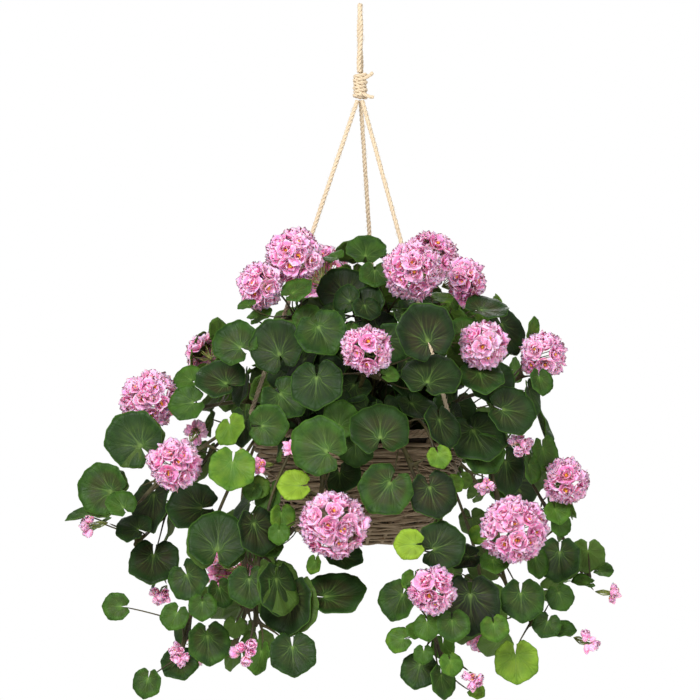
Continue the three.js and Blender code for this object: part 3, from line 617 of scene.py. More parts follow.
@dataclass(frozen=True)
class PetalFinish(Finish):
    """A silky petal: cream at its base, pink in the middle and paler along its rim, with fine streaks."""

    name: str
    base: tuple
    pale: tuple
    pink: tuple
    deep: tuple
    rim: tuple

    def wire(self, wiring: Wiring, surface: bpy.types.Node) -> None:
        """Blends the colours from the base to the rim and streaks them."""
        own, cream, depth, inner = wiring.tint()
        across, reach, _ = wiring.parts(wiring.place())
        mottle = Effect.MOTTLE.place_in(wiring, Point=wiring.point(), Scale=260.0)
        streaks = Effect.RIBS.place_in(
            wiring, Phase=wiring.times(across, 4.0), Reach=reach, Spread=0.9, Width=0.3
        )
        colour = wiring.mix(own, self.pink, self.pale)
        colour = wiring.mix(wiring.times(mottle["Broad"], 0.22), colour, self.deep)
        colour = wiring.mix(wiring.times(streaks["Vein"], 0.2), colour, self.deep)
        dark = wiring.times(wiring.step(reach, 0.75, 0.1), wiring.plus(wiring.times(inner, 0.3), 0.1))
        colour = wiring.mix(dark, colour, self.deep)
        edge = wiring.math("MAXIMUM", wiring.math("ABSOLUTE", across), reach)
        colour = wiring.mix(wiring.step(edge, 0.7, 1.0, 0.65), colour, self.rim)
        root = wiring.times(wiring.step(reach, 0.6, 0.1), wiring.plus(wiring.times(cream, 0.8), 0.1))
        colour = wiring.mix(root, colour, self.base)
        colour = wiring.mix(wiring.times(depth, 0.5), colour, self.deep)
        wiring.feed(surface.inputs["Base Color"], colour)
        wiring.feed(surface.inputs["Roughness"], wiring.plus(wiring.times(mottle["Fine"], 0.15), 0.5))
        height = wiring.plus(wiring.times(mottle["Fine"], 0.3), wiring.times(streaks["Vein"], 0.5))
        wiring.feed(surface.inputs["Normal"], wiring.bump(height, 0.5, 0.2 * MM))
        surface.inputs["Specular IOR Level"].default_value = 0.3
        surface.inputs["Subsurface Weight"].default_value = 0.3
        surface.inputs["Subsurface Scale"].default_value = 2.5 * MM


LEAF = LeafFinish(
    "geranium_leaf",
    tones=(
        (0.0, srgb(13, 27, 6)),
        (0.28, srgb(28, 55, 13)),
        (0.6, srgb(64, 102, 22)),
        (1.0, srgb(138, 168, 42)),
    ),
    band=srgb(46, 38, 20),
    vein=srgb(104, 132, 60),
    margin=srgb(80, 124, 34),
    under=srgb(76, 100, 34),
)
PETAL = PetalFinish(
    "silk_petal",
    base=srgb(255, 234, 190),
    pale=srgb(255, 205, 232),
    pink=srgb(254, 160, 212),
    deep=srgb(242, 100, 170),
    rim=srgb(255, 224, 240),
)
STEM = MottledFinish("stem", srgb(40, 32, 20), srgb(88, 84, 40), scale=45.0, roughness=0.6)
CALYX = MottledFinish("calyx", srgb(84, 96, 40), srgb(158, 168, 84), scale=180.0, roughness=0.6)
STAMEN = MottledFinish("stamen", srgb(206, 128, 16), srgb(250, 200, 80), scale=300.0, roughness=0.6)
SOIL = MottledFinish(
    "bark_soil", srgb(18, 12, 8), srgb(66, 46, 30), scale=120.0, roughness=0.9, relief=0.8 * MM
)
LINER = MottledFinish(
    "moss_liner", srgb(16, 10, 6), srgb(48, 33, 18), scale=150.0, roughness=0.9, relief=1.0 * MM
)
FLOOR = MottledFinish("pale_floor", srgb(232, 231, 228), srgb(240, 239, 236), scale=3.0, roughness=0.8)
JUTE = FibreFinish("jute", srgb(46, 30, 12), srgb(98, 72, 36), srgb(140, 112, 66), stretch=160.0)
TWIG = FibreFinish("twig", srgb(8, 4, 2), srgb(34, 17, 7), srgb(86, 50, 22), stretch=45.0, roughness=0.7)


# ---------------------------------------------------------------- the room


@dataclass
class Studio:
    """A pale floor, soft lamps and the camera."""

    distance: float = 3.5
    aim_across: float = -0.009
    aim_height: float = -0.306
    seen_width: float = 0.626
    floor_drop: float = 0.6
    floor_radius: float = 5.5
    ambient: float = 0.40

    # Each lamp's name, place, side and power in watts.
    LAMPS = (
        ("key_lamp", (-1.2, -2.3, 1.2), 1.3, 100.0),
        ("fill_lamp", (1.8, -2.0, 0.3), 1.8, 30.0),
        ("back_lamp", (0.4, 2.4, 1.2), 1.8, 55.0),
    )

    def camera(self) -> None:
        """Makes the camera, level and looking along +Y."""
        data = bpy.data.cameras.new("camera")
        data.lens = data.sensor_width * self.distance / self.seen_width
        data.clip_end = 100.0
        camera = bpy.data.objects.new("camera", data)
        camera.location = (self.aim_across, -self.distance, self.aim_height)
        camera.rotation_euler = (math.pi / 2, 0.0, 0.0)
        bpy.context.scene.collection.objects.link(camera)
        bpy.context.scene.camera = camera

    def world(self) -> None:
        """Makes the white surroundings, which light the object less than they show."""
        world = bpy.data.worlds.new("white_room")
        world.use_nodes = True
        world.node_tree.nodes.clear()
        wiring = Wiring(world.node_tree)
        seen = wiring.add("ShaderNodeLightPath").outputs["Is Camera Ray"]
        strength = wiring.step(seen, 0.0, 1.0, 1.0 - self.ambient)
        strength = wiring.plus(strength, self.ambient)
        background = wiring.add("ShaderNodeBackground", {"Color": (1, 1, 1, 1), "Strength": strength})
        wiring.add("ShaderNodeOutputWorld", {"Surface": background.outputs[0]})
        bpy.context.scene.world = world
        bpy.context.scene.view_settings.view_transform = "Standard"

    def lamp(self, name: str, place: tuple, size: float, power: float) -> None:
        """Hangs a square lamp that faces the object.

        Args:
            name: the lamp's name.
            place: where it hangs.
            size: the length of its side.
            power: its power in watts.
        """
        data = bpy.data.lights.new(name, "AREA")
        data.size = size
        data.energy = power
        lamp = bpy.data.objects.new(name, data)
        lamp.location = place
        towards = Vector((0.0, 0.0, self.aim_height)) - lamp.location
        lamp.rotation_euler = towards.to_track_quat("-Z", "Y").to_euler()
        bpy.context.scene.collection.objects.link(lamp)

    def floor(self, lowest: float) -> None:
        """Lays the floor a little under the object."""
        mesh = bpy.data.meshes.new("floor")
        shape = bmesh.new()
        bmesh.ops.create_circle(shape, cap_ends=True, segments=96, radius=self.floor_radius)
        shape.to_mesh(mesh)
        shape.free()
        floor = bpy.data.objects.new("floor", mesh)
        floor.location.z = lowest - self.floor_drop
        mesh.materials.append(FLOOR.material())
        bpy.context.scene.collection.objects.link(floor)
        floor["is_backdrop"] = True

    def build(self, lowest: float) -> None:
        """Furnishes the room round an object whose lowest point is given."""
        self.world()
        self.floor(lowest)
        for name, place, size, power in self.LAMPS:
            self.lamp(name, place, size, power)


# ---------------------------------------------------------------- the hanger


@dataclass
class RopeHanger:
    """A jute loop, the lashing under it, three legs and the knots that tie them to the rim."""

    loop_thickness: float = 4.6 * MM
    leg_thickness: float = 4.0 * MM
    lay_length: float = 13.0 * MM
    leg_turns: tuple = (("left", 199.0), ("right", 319.0), ("back", 79.0))
    leg_top: tuple = (2.6 * MM, -83.05 * MM)
    leg_end: tuple = (108.2 * MM, -378.0 * MM)
    wraps: int = 6
    wrap_radius: float = 4.6 * MM
    wrap_thickness: float = 1.95 * MM
    hairs_per_metre: int = 800
    seed: int = 11

    # The loop's route, up one side and down the other.
    LOOP_ROUTE = (
        (0.0007, 0.0025, -0.0577),
        (0.0009, 0.0034, -0.048),
        (0.0003, 0.0046, -0.038),
        (-0.0005, 0.0056, -0.027),
        (-0.0006, 0.006, -0.016),
        (-0.0002, 0.0052, -0.0065),
        (0.0, 0.0032, -0.0002),
        (0.0, 0.0, 0.0023),
        (0.0, -0.0032, -0.0002),
        (0.0002, -0.0052, -0.0065),
        (0.0006, -0.006, -0.016),
        (0.0005, -0.0056, -0.027),
        (-0.0003, -0.0046, -0.038),
        (-0.0009, -0.0034, -0.048),
        (-0.0007, -0.0025, -0.0577),
    )

    def __post_init__(self) -> None:
        """Starts the hanger's own random numbers."""
        self.random = np.random.default_rng(self.seed)

    def twist(self, draft: Draft, path: Points, thickness: float, guide: Points, start: float = 0.0) -> None:
        """Adds three strands laid round each other along a path.

        Args:
            draft: the mesh that they join.
            path: the rope's middle, with points a millimetre or two apart.
            thickness: the rope's diameter.
            guide: a direction that the path never runs along.
            start: how far round the strands start, in radians.
        """
        along = unit(np.gradient(path, axis=0))
        right = unit(np.cross(along, guide))
        over = np.cross(along, right)
        run = np.concatenate([[0], np.cumsum(np.linalg.norm(np.diff(path, axis=0), axis=1))])
        for strand in range(3):
            turn = start + 2 * math.pi * (run / self.lay_length + strand / 3)
            wander = 1 + 0.05 * np.sin(run / (7 * MM) + strand * 2.1)
            middle = path + 0.25 * thickness * wander[:, None] * (
                right * np.cos(turn)[:, None] + over * np.sin(turn)[:, None]
            )
            swell = 0.27 * thickness * (1 + 0.07 * np.sin(run / (3.1 * MM) + strand))
            points, faces, place = tube(middle, swell, 6, guide)
            draft.add(points, faces, (self.random.uniform(0.2, 0.9), 0.0, 0.0, 1.0), place)

    def fuzz(self, name: str, path: Points, thickness: float) -> bpy.types.Object:
        """Makes the loose hairs that stand off a rope.

        Args:
            name: the piece's name.
            path: the rope's middle.
            thickness: the rope's diameter.

        Returns:
            The piece.
        """
        draft = Draft(name)
        length = float(np.linalg.norm(np.diff(path, axis=0), axis=1).sum())
        for _ in range(round(length * self.hairs_per_metre)):
            at = self.random.integers(1, len(path) - 1)
            along = unit(path[at + 1] - path[at - 1])
            first, second = square_to(along)
            turn = self.random.uniform(0, 2 * math.pi)
            out = first * math.cos(turn) + second * math.sin(turn)
            lean = along * self.random.uniform(-1.6, 1.6)
            reach = self.random.uniform(0.8, 2.6) * MM
            root = path[at] + out * 0.42 * thickness
            bent = root + (out + lean) * 0.5 * reach
            hair = np.stack([root, bent, root + (0.7 * out + 1.5 * lean) * reach])
            points, faces, place = tube(hair, np.array([0.11, 0.09, 0.03]) * MM, 3, np.cross(out, along))
            draft.add(points, faces, (self.random.uniform(0.6, 1.0), 0.2, 0.0, 1.0), place)
        return draft.piece(JUTE, "jute")

    def lashing(self) -> list[bpy.types.Object]:
        """Makes the turns of thinner rope round the join and their two cut ends."""
        low, high = (c.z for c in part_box("rope_binding"))
        margin = self.wrap_thickness
        turn = np.linspace(0, 2 * math.pi * self.wraps, self.wraps * 40)
        height = np.linspace(low + margin, high - margin, len(turn))
        bulge = self.wrap_radius + 0.5 * MM * np.sin(turn * 0.5 + 1.0)
        path = np.stack([bulge * np.cos(turn), bulge * np.sin(turn), height], -1)
        wraps = Draft("rope_binding_wraps")
        self.twist(wraps, path, 2 * self.wrap_thickness, UP)
        core = Draft("rope_binding_core")
        points, faces, place = tube(
            np.array([[0, 0, low + margin], [0, 0, high - margin]]), self.wrap_radius - 0.6 * MM, 14, ACROSS
        )
        core.add(points, faces, (0.1, 0.0, 0.0, 1.0), place)
        ends = Draft("rope_binding_ends")
        for start, end in (((3, -3, -63), (11.5, -5, -58.5)), ((3, -4, -77), (12, -6.5, -80.5))):
            route = np.array([start, end]) * MM
            middle = (route[0] + route[1]) / 2 + np.array([0, -1, -0.8]) * MM
            self.twist(ends, smooth_path(np.stack([route[0], middle, route[1]]), 1 * MM), 3.4 * MM, UP)
        return [
            wraps.piece(JUTE, "jute", "rope_binding"),
            core.piece(JUTE, "jute"),
            ends.piece(JUTE, "jute"),
        ]

    def knot(self, name: str, degrees: float) -> bpy.types.Object:
        """Makes the knot at a leg's foot, with its short tail.

        Args:
            name: the piece's name.
            degrees: the leg's direction round the basket.

        Returns:
            The piece.
        """
        turn = math.radians(degrees)
        out = np.array([math.cos(turn), math.sin(turn), 0.0])
        beside = np.array([-out[1], out[0], 0.0])
        centre = out * (self.leg_end[0] + 1.4 * MM) + UP * (self.leg_end[1] - 2.5 * MM)
        t = np.linspace(0, 2 * math.pi, 60)
        size = 1.55 * MM
        trefoil = (
            np.outer(np.sin(t) + 2 * np.sin(2 * t), out)
            + np.outer(np.cos(t) - 2 * np.cos(2 * t), beside)
            + np.outer(-1.3 * np.sin(3 * t), UP)
        )
        draft = Draft(name)
        self.twist(draft, centre + size * trefoil, 0.8 * self.leg_thickness, UP + 0.3 * out)
        upper, lower = 0.3 * out - UP, 0.2 * out + 0.2 * beside - UP
        tail = np.stack([centre, centre + upper * 5 * MM, centre + lower * 13 * MM])
        self.twist(draft, smooth_path(tail, 1 * MM), 0.75 * self.leg_thickness, beside)
        return draft.piece(JUTE, "jute")

    def build(self) -> None:
        """Makes the whole hanger."""
        route = np.array(self.LOOP_ROUTE)
        path = smooth_path(route, 1.2 * MM)
        draft = Draft("rope_loop_strands")
        self.twist(draft, path, self.loop_thickness, ACROSS)
        loop = draft.piece(JUTE, "jute", "rope_loop")
        lashing = self.lashing()
        fuzz = self.fuzz("rope_loop_fuzz", path, self.loop_thickness)
        for side, degrees in self.leg_turns:
            self.leg(side, degrees)

    def leg(self, side: str, degrees: float) -> None:
        """Makes one leg.

        Args:
            side: the leg's name.
            degrees: its direction round the basket, from +X towards +Y.
        """
        turn = math.radians(degrees)
        out = np.array([math.cos(turn), math.sin(turn), 0.0])
        top, end = (out * radius + UP * height for radius, height in (self.leg_top, self.leg_end))
        length = float(np.linalg.norm(end - top))
        path = top + np.linspace(0, 1, round(length / (1.5 * MM)))[:, None] * (end - top)
        draft = Draft(f"rope_leg_{side}_strands")
        self.twist(draft, path, self.leg_thickness, np.cross(out, UP), start=turn)
        leg = draft.piece(JUTE, "jute", f"rope_leg_{side}")
        fuzz = self.fuzz(f"rope_leg_{side}_fuzz", path, self.leg_thickness)
        self.knot(f"rope_leg_{side}_knot", degrees)


# ---------------------------------------------------------------- the basket


@dataclass
class TwigBasket:
    """A bowl woven from dark vines over upright ribs, with a moss liner and a wrapped rim."""

    rows: int = 26
    ribs: int = 22
    strand: float = 1.9 * MM
    weave: float = 1.5 * MM
    stray_twigs: int = 130
    rim_strands: int = 5
    rim_twists: int = 19
    seed: int = 23

    def __post_init__(self) -> None:
        """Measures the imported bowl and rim."""
        self.random = np.random.default_rng(self.seed)
        low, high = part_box("basket_bowl")
        self.bottom, self.top = low.z, high.z
        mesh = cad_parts["basket_bowl"].data
        tree = BVHTree.FromPolygons([v.co for v in mesh.vertices], [tuple(p.vertices) for p in mesh.polygons])
        self.heights = np.linspace(self.bottom + 0.2 * MM, self.top - 0.2 * MM, 40)
        outside = max(high.x, high.y)
        starts = [Vector((2 * outside, 0.0, float(z))) for z in self.heights]
        hits = [tree.ray_cast(start, Vector((-1, 0, 0)))[0] for start in starts]
        self.radii = np.array([hit.x for hit in hits])

    def radius_at(self, height: Points) -> Points:
        """Returns the bowl's outside radius at a height."""
        return np.interp(height, self.heights, self.radii)

    def wander(self, turn: Points, size: float) -> Points:
        """Returns a slow random wave round the basket."""
        total = np.zeros_like(turn)
        for harmonic in (1, 2, 3, 5, 8):
            height = self.random.uniform(0.2, 1.0) / harmonic
            total += height * np.sin(harmonic * turn + self.random.uniform(0, ANY_PHASE))
        return total * size

    def around(self, turn: Points, radius: Points, height: Points) -> Points:
        """Returns points from their turn about the axis, radius and height."""
        return np.stack([radius * np.cos(turn), radius * np.sin(turn), height], -1)

    def shade(self, worn: float = 0.0) -> tuple[float, float, float, float]:
        """Returns one strand's own shade."""
        return (self.random.uniform(0.0, 1.0), worn, 0.0, 1.0)

    def weavers(self) -> bpy.types.Object:
        """Makes the rows of vines that pass in and out between the ribs."""
        draft = Draft("basket_weave")
        turn = np.linspace(0, 2 * math.pi, 128, endpoint=False)
        for row in range(self.rows):
            share = (row + 0.5) / self.rows
            height = self.bottom + 2 * MM + share * (self.top - self.bottom - 5 * MM)
            for _ in range(2 if row % 3 else 1):
                level = height + self.wander(turn, 1.3 * MM)
                phase = math.pi * (row % 2) + self.random.uniform(-0.4, 0.4)
                radius = self.radius_at(level) - 0.9 * MM + self.weave * np.cos(self.ribs / 2 * turn + phase)
                thick = self.strand * self.random.uniform(0.65, 1.1) * (1 + 0.12 * np.sin(9 * turn + row))
                path = self.around(turn, radius + self.wander(turn, 0.5 * MM), level)
                points, faces, place = tube(path, thick, 5, UP, closed=True)
                draft.add(points, faces, self.shade(), place)
        return draft.piece(TWIG, "twig", "basket_bowl")

    def uprights(self) -> bpy.types.Object:
        """Makes the ribs, from the middle of the foot up to the rim."""
        draft = Draft("basket_ribs")
        for rib in range(self.ribs):
            turn = 2 * math.pi * (rib + self.random.uniform(-0.2, 0.2)) / self.ribs
            height = np.linspace(self.bottom + 1 * MM, self.top, 16)
            radius = self.radius_at(height) - 1.6 * MM
            radius = np.concatenate([np.linspace(3 * MM, radius[0] - 4 * MM, 5), radius])
            height = np.concatenate([np.full(5, self.bottom + 1 * MM), height])
            bend = turn + 0.03 * np.sin(np.linspace(0, 7, len(height)) + rib)
            guide = np.cross(self.around(turn, 1, 0), UP)
            points, faces, place = tube(self.around(bend, radius, height), 1.7 * MM, 6, guide)
            draft.add(points, faces, self.shade(), place)
        return draft.piece(TWIG, "twig")

    def strays(self) -> bpy.types.Object:
        """Makes the loose twigs that criss-cross the weave."""
        draft = Draft("basket_stray_twigs")
        for _ in range(self.stray_twigs):
            turn = self.random.uniform(0, 2 * math.pi) + np.linspace(0, self.random.uniform(0.4, 1.9), 30)
            start, end = self.random.uniform(self.bottom + 5 * MM, self.top - 4 * MM, 2)
            end = start + np.clip(end - start, -16 * MM, 16 * MM)
            level = np.linspace(start, end, len(turn)) + self.wander(turn * 3, 1.2 * MM)
            level = np.clip(level, self.bottom + 2 * MM, self.top - 1 * MM)
            radius = self.radius_at(level) + 1.6 * MM + np.abs(self.wander(turn * 2, 1.1 * MM))
            taper = np.sin(np.linspace(0.25, math.pi - 0.25, len(turn)))
            thick = self.random.uniform(0.45, 1.1) * MM * taper
            points, faces, place = tube(self.around(turn, radius, level), thick, 5, UP)
            draft.add(points, faces, self.shade(self.random.uniform(0.1, 0.9)), place)
        return draft.piece(TWIG, "twig")

    def foot(self) -> bpy.types.Object:
        """Makes the flat coil under the bowl."""
        draft = Draft("basket_foot_coil")
        inner, outer = 3 * MM, float(self.radii[0]) + 1 * MM
        turns = (outer - inner) / (3.4 * MM)
        turn = np.linspace(0, 2 * math.pi * turns, round(turns * 60))
        radius = np.linspace(inner, outer, len(turn)) + 0.4 * MM * np.sin(7.3 * turn)
        level = self.bottom + 0.6 * MM + 0.8 * MM * np.cos(11 * turn)
        points, faces, place = tube(self.around(turn, radius, level), 1.75 * MM, 6, UP)
        draft.add(points, faces, (0.4, 0.1, 0.0, 1.0), place)
        return draft.piece(TWIG, "twig")

    def rim(self) -> bpy.types.Object:
        """Makes the rim, vines wound round each other in a ring."""
        low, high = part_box("basket_rim")
        rod = (high.z - low.z) / 2
        middle = high.x - rod
        height = (high.z + low.z) / 2
        draft = Draft("basket_rim_vines")
        turn = np.linspace(0, 2 * math.pi, 340, endpoint=False)
        for strand in range(self.rim_strands):
            wind = self.rim_twists * turn + 2 * math.pi * strand / self.rim_strands
            out = 0.56 * rod * (1 + 0.12 * np.sin(5 * turn + strand))
            path = self.around(turn, middle + out * np.cos(wind), height + out * np.sin(wind))
            thick = 0.42 * rod * (1 + 0.14 * np.sin(13 * turn + 2 * strand))
            points, faces, place = tube(path, thick, 6, UP, closed=True)
            draft.add(points, faces, self.shade(0.15), place)
        return draft.piece(TWIG, "twig", "basket_rim")

    def liner(self) -> bpy.types.Object:
        """Makes the moss shell inside the weave."""
        draft = Draft("basket_liner")
        outer = self.radii - 2.6 * MM
        inner = self.radii - 4.6 * MM
        radius = np.concatenate([[0.2 * MM], outer, inner[::-1], [0.2 * MM]])
        height = np.concatenate([[self.heights[0] + 1 * MM], self.heights + 1 * MM])
        height = np.concatenate([height, self.heights[:0:-1], np.full(2, self.heights[0] + 3 * MM)])
        turn = np.linspace(0, 2 * math.pi, 90, endpoint=False)
        lumps = self.random.normal(0, 0.35 * MM, (len(radius), len(turn)))
        lumps[[0, -1]] = 0
        points = self.around(turn[None], radius[:, None] + lumps, height[:, None] + 0 * lumps)
        faces = [sleeve_faces(*lumps.shape), *sleeve_caps(*lumps.shape)]
        draft.add(points.reshape(-1, 3), faces, (0.4, 0.0, 0.0, 1.0), (0.0, 0.0, 0.0))
        return draft.piece(LINER, "twig")

    def build(self) -> None:
        """Makes the whole basket."""
        self.liner()
        self.uprights()
        self.weavers()
        self.strays()
        self.foot()
        self.rim()


@dataclass
class PottingSoil:
    """The domed soil, covered with bark crumbs."""

    crumbs: int = 420
    rings: int = 16
    seed: int = 31

    def build(self) -> None:
        """Makes the dome and its crumbs."""
        random = np.random.default_rng(self.seed)
        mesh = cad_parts["soil"].data
        tree = BVHTree.FromPolygons([v.co for v in mesh.vertices], [tuple(p.vertices) for p in mesh.polygons])
        low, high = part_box("soil")
        reach = high.x - 1.0 * MM
        near = 0.96 * reach
        turns = np.linspace(0, 6, 25)
        starts = [Vector((near * math.cos(a), near * math.sin(a), high.z + 0.1)) for a in turns]
        hits = [tree.ray_cast(start, Vector((0, 0, -1)))[0] for start in starts]
        edge = max(hit.z for hit in hits if hit)
        drop = high.z - edge
        count = 72
        turn = np.linspace(0, 2 * math.pi, count, endpoint=False)[None]
        share = np.concatenate([np.linspace(0.03, 1.0, self.rings), [0.97, 0.4]])[:, None]
        radius = share * reach
        level = high.z - drop * share**2 + random.normal(0, 0.5 * MM, (len(share), count))
        level[-2:] = edge - np.array([[6 * MM], [8 * MM]])
        points = np.stack(np.broadcast_arrays(radius * np.cos(turn), radius * np.sin(turn), level), -1)
        faces = np.roll(sleeve_faces(len(share), count)[:, ::-1], 1, 1)
        caps = [cap[:, ::-1] for cap in sleeve_caps(len(share), count)]
        draft = Draft("soil_surface")
        draft.add(points.reshape(-1, 3), [faces, *caps], (0.2, 0.0, 0.0, 1.0), (0.0, 0.0, 0.0))
        draft.piece(SOIL, "soil", "soil")
        spread = np.sqrt(random.uniform(0, 0.96, self.crumbs))
        turn = random.uniform(0, 2 * math.pi, self.crumbs)
        away = spread * reach
        centres = np.stack([away * np.cos(turn), away * np.sin(turn), high.z - drop * spread**2], -1)
        sizes = random.uniform(0.8, 3.2, (self.crumbs, 3)) * MM * np.array([1.0, 1.0, 0.55])
        tints = np.ones((self.crumbs, 4)) * random.uniform(0, 1, (self.crumbs, 1))
        bark = Draft("soil_bark_crumbs")
        Blob.scatter(bark, centres, sizes, tints)
        bark.piece(SOIL, "soil")


# ---------------------------------------------------------------- leaves


@dataclass(frozen=True)
class LeafPlace:
    """Where one leaf sits: its petiole's point, the way it faces, the way its tip points and its size."""

    point: Points
    normal: Points
    axis: Points
    radius: float

    @property
    def middle(self) -> Points:
        """The middle of the blade, past the petiole's point."""
        return self.point + self.axis * LEAF_LEAD * self.radius


def merged(node: str) -> bmesh.types.BMesh:
    """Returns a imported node's shape with its shared corners joined."""
    shape = bmesh.new()
    shape.from_mesh(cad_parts[node].data)
    bmesh.ops.remove_doubles(shape, verts=shape.verts, dist=0.02 * MM)
    shape.normal_update()
    return shape


def add_petiole(draft: Draft, root: Points, leaf: LeafPlace, random: np.random.Generator) -> None:
    """Adds a curved stalk from a root up to the back of a leaf.

    Args:
        draft: the mesh that it joins.
        root: where it starts.
        leaf: the leaf that it holds.
        random: where its bend comes from.
    """
    reach = np.linalg.norm(leaf.point - root)
    bend = (root + leaf.point) / 2 - leaf.normal * 0.22 * reach + random.normal(0, 0.05 * reach, 3)
    path = smooth_path(np.stack([root, bend, leaf.point]), 5 * MM)
    thick = np.linspace(0.85, 0.65, len(path)) * MM
    points, faces, place = tube(path, thick, 5, square_to(unit(leaf.point - root))[0])
    draft.add(points, faces, (random.uniform(0, 1), 0.0, 0.0, 1.0), place)


@dataclass
class InnerFoliage:
    """The leaves over the soil, which fill the heart of the basket, with a dark tone that is painted shade."""

    foliage: "Foliage"
    count: int = 95
    most_tries: int = 4000
    lowest: float = -0.368
    highest: float = -0.262
    seed: int = 47

    def build(self, taken: list[LeafPlace]) -> None:
        """Grows the leaves on stalks from the soil.

        Args:
            taken: every leaf so far, which the new ones are added to.
        """
        random = np.random.default_rng(self.seed)
        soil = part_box("soil")[1].z
        leaves, stalks = Draft("heart_leaves"), Draft("heart_petioles")
        grown = tries = 0
        while grown < self.count and tries < self.most_tries:
            tries += 1
            turn = random.uniform(0, 2 * math.pi)
            height = random.uniform(self.lowest, self.highest)
            share = (height - self.lowest) / (self.highest - self.lowest)
            away = random.uniform(42, 100 - 42 * share) * MM
            out = np.array([math.cos(turn), math.sin(turn), 0.0])
            point = out * away + UP * height
            radius = random.uniform(13, 22) * MM
            normal = unit(out + random.uniform(0.1, 0.9) * UP + random.normal(0, 0.3, 3))
            axis = unit(np.cross(np.cross(normal, random.normal(0, 0.6, 3) - UP), normal))
            leaf = LeafPlace(point, normal, axis, radius)
            near = min(np.linalg.norm(leaf.middle - t.middle) - 0.5 * (radius + t.radius) for t in taken)
            if near < 0:
                continue
            taken.append(leaf)
            grown += 1
            self.foliage.grow(leaves, leaf, random, shaded=True)
            add_petiole(stalks, out * away * random.uniform(0.2, 0.6) + UP * (soil - 3 * MM), leaf, random)
        leaves.piece(LEAF, "foliage")
        stalks.piece(STEM, "foliage")


class BladeGrid:
    """The points and faces of a leaf blade with two sides, laid out once for each fineness."""

    def __init__(self, rings: int, spokes: int) -> None:
        """Lays out the grid.

        Args:
            rings: the rings between the petiole's point and the edge.
            spokes: the steps round the blade, from one side of the notch to the other.
        """
        self.reach = np.linspace(0, 1, rings + 1)[1:] ** 0.8
        self.turn = np.linspace(-1, 1, spokes + 1)
        k = spokes + 1
        grid = 1 + np.arange(rings * k).reshape(rings, k)
        count = 1 + rings * k
        quads = sheet_faces(grid)
        fan = np.stack([np.zeros(spokes, int), grid[0, :-1], grid[0, 1:]], -1)
        loop = np.concatenate([[0], grid[:-1, 0], grid[-1, :], grid[-2::-1, -1]])
        after = np.roll(loop, -1)
        rim = np.stack([loop, loop + count, after + count, after], -1)
        self.faces = [quads, quads[:, ::-1] + count, rim, fan, fan[:, ::-1] + count]


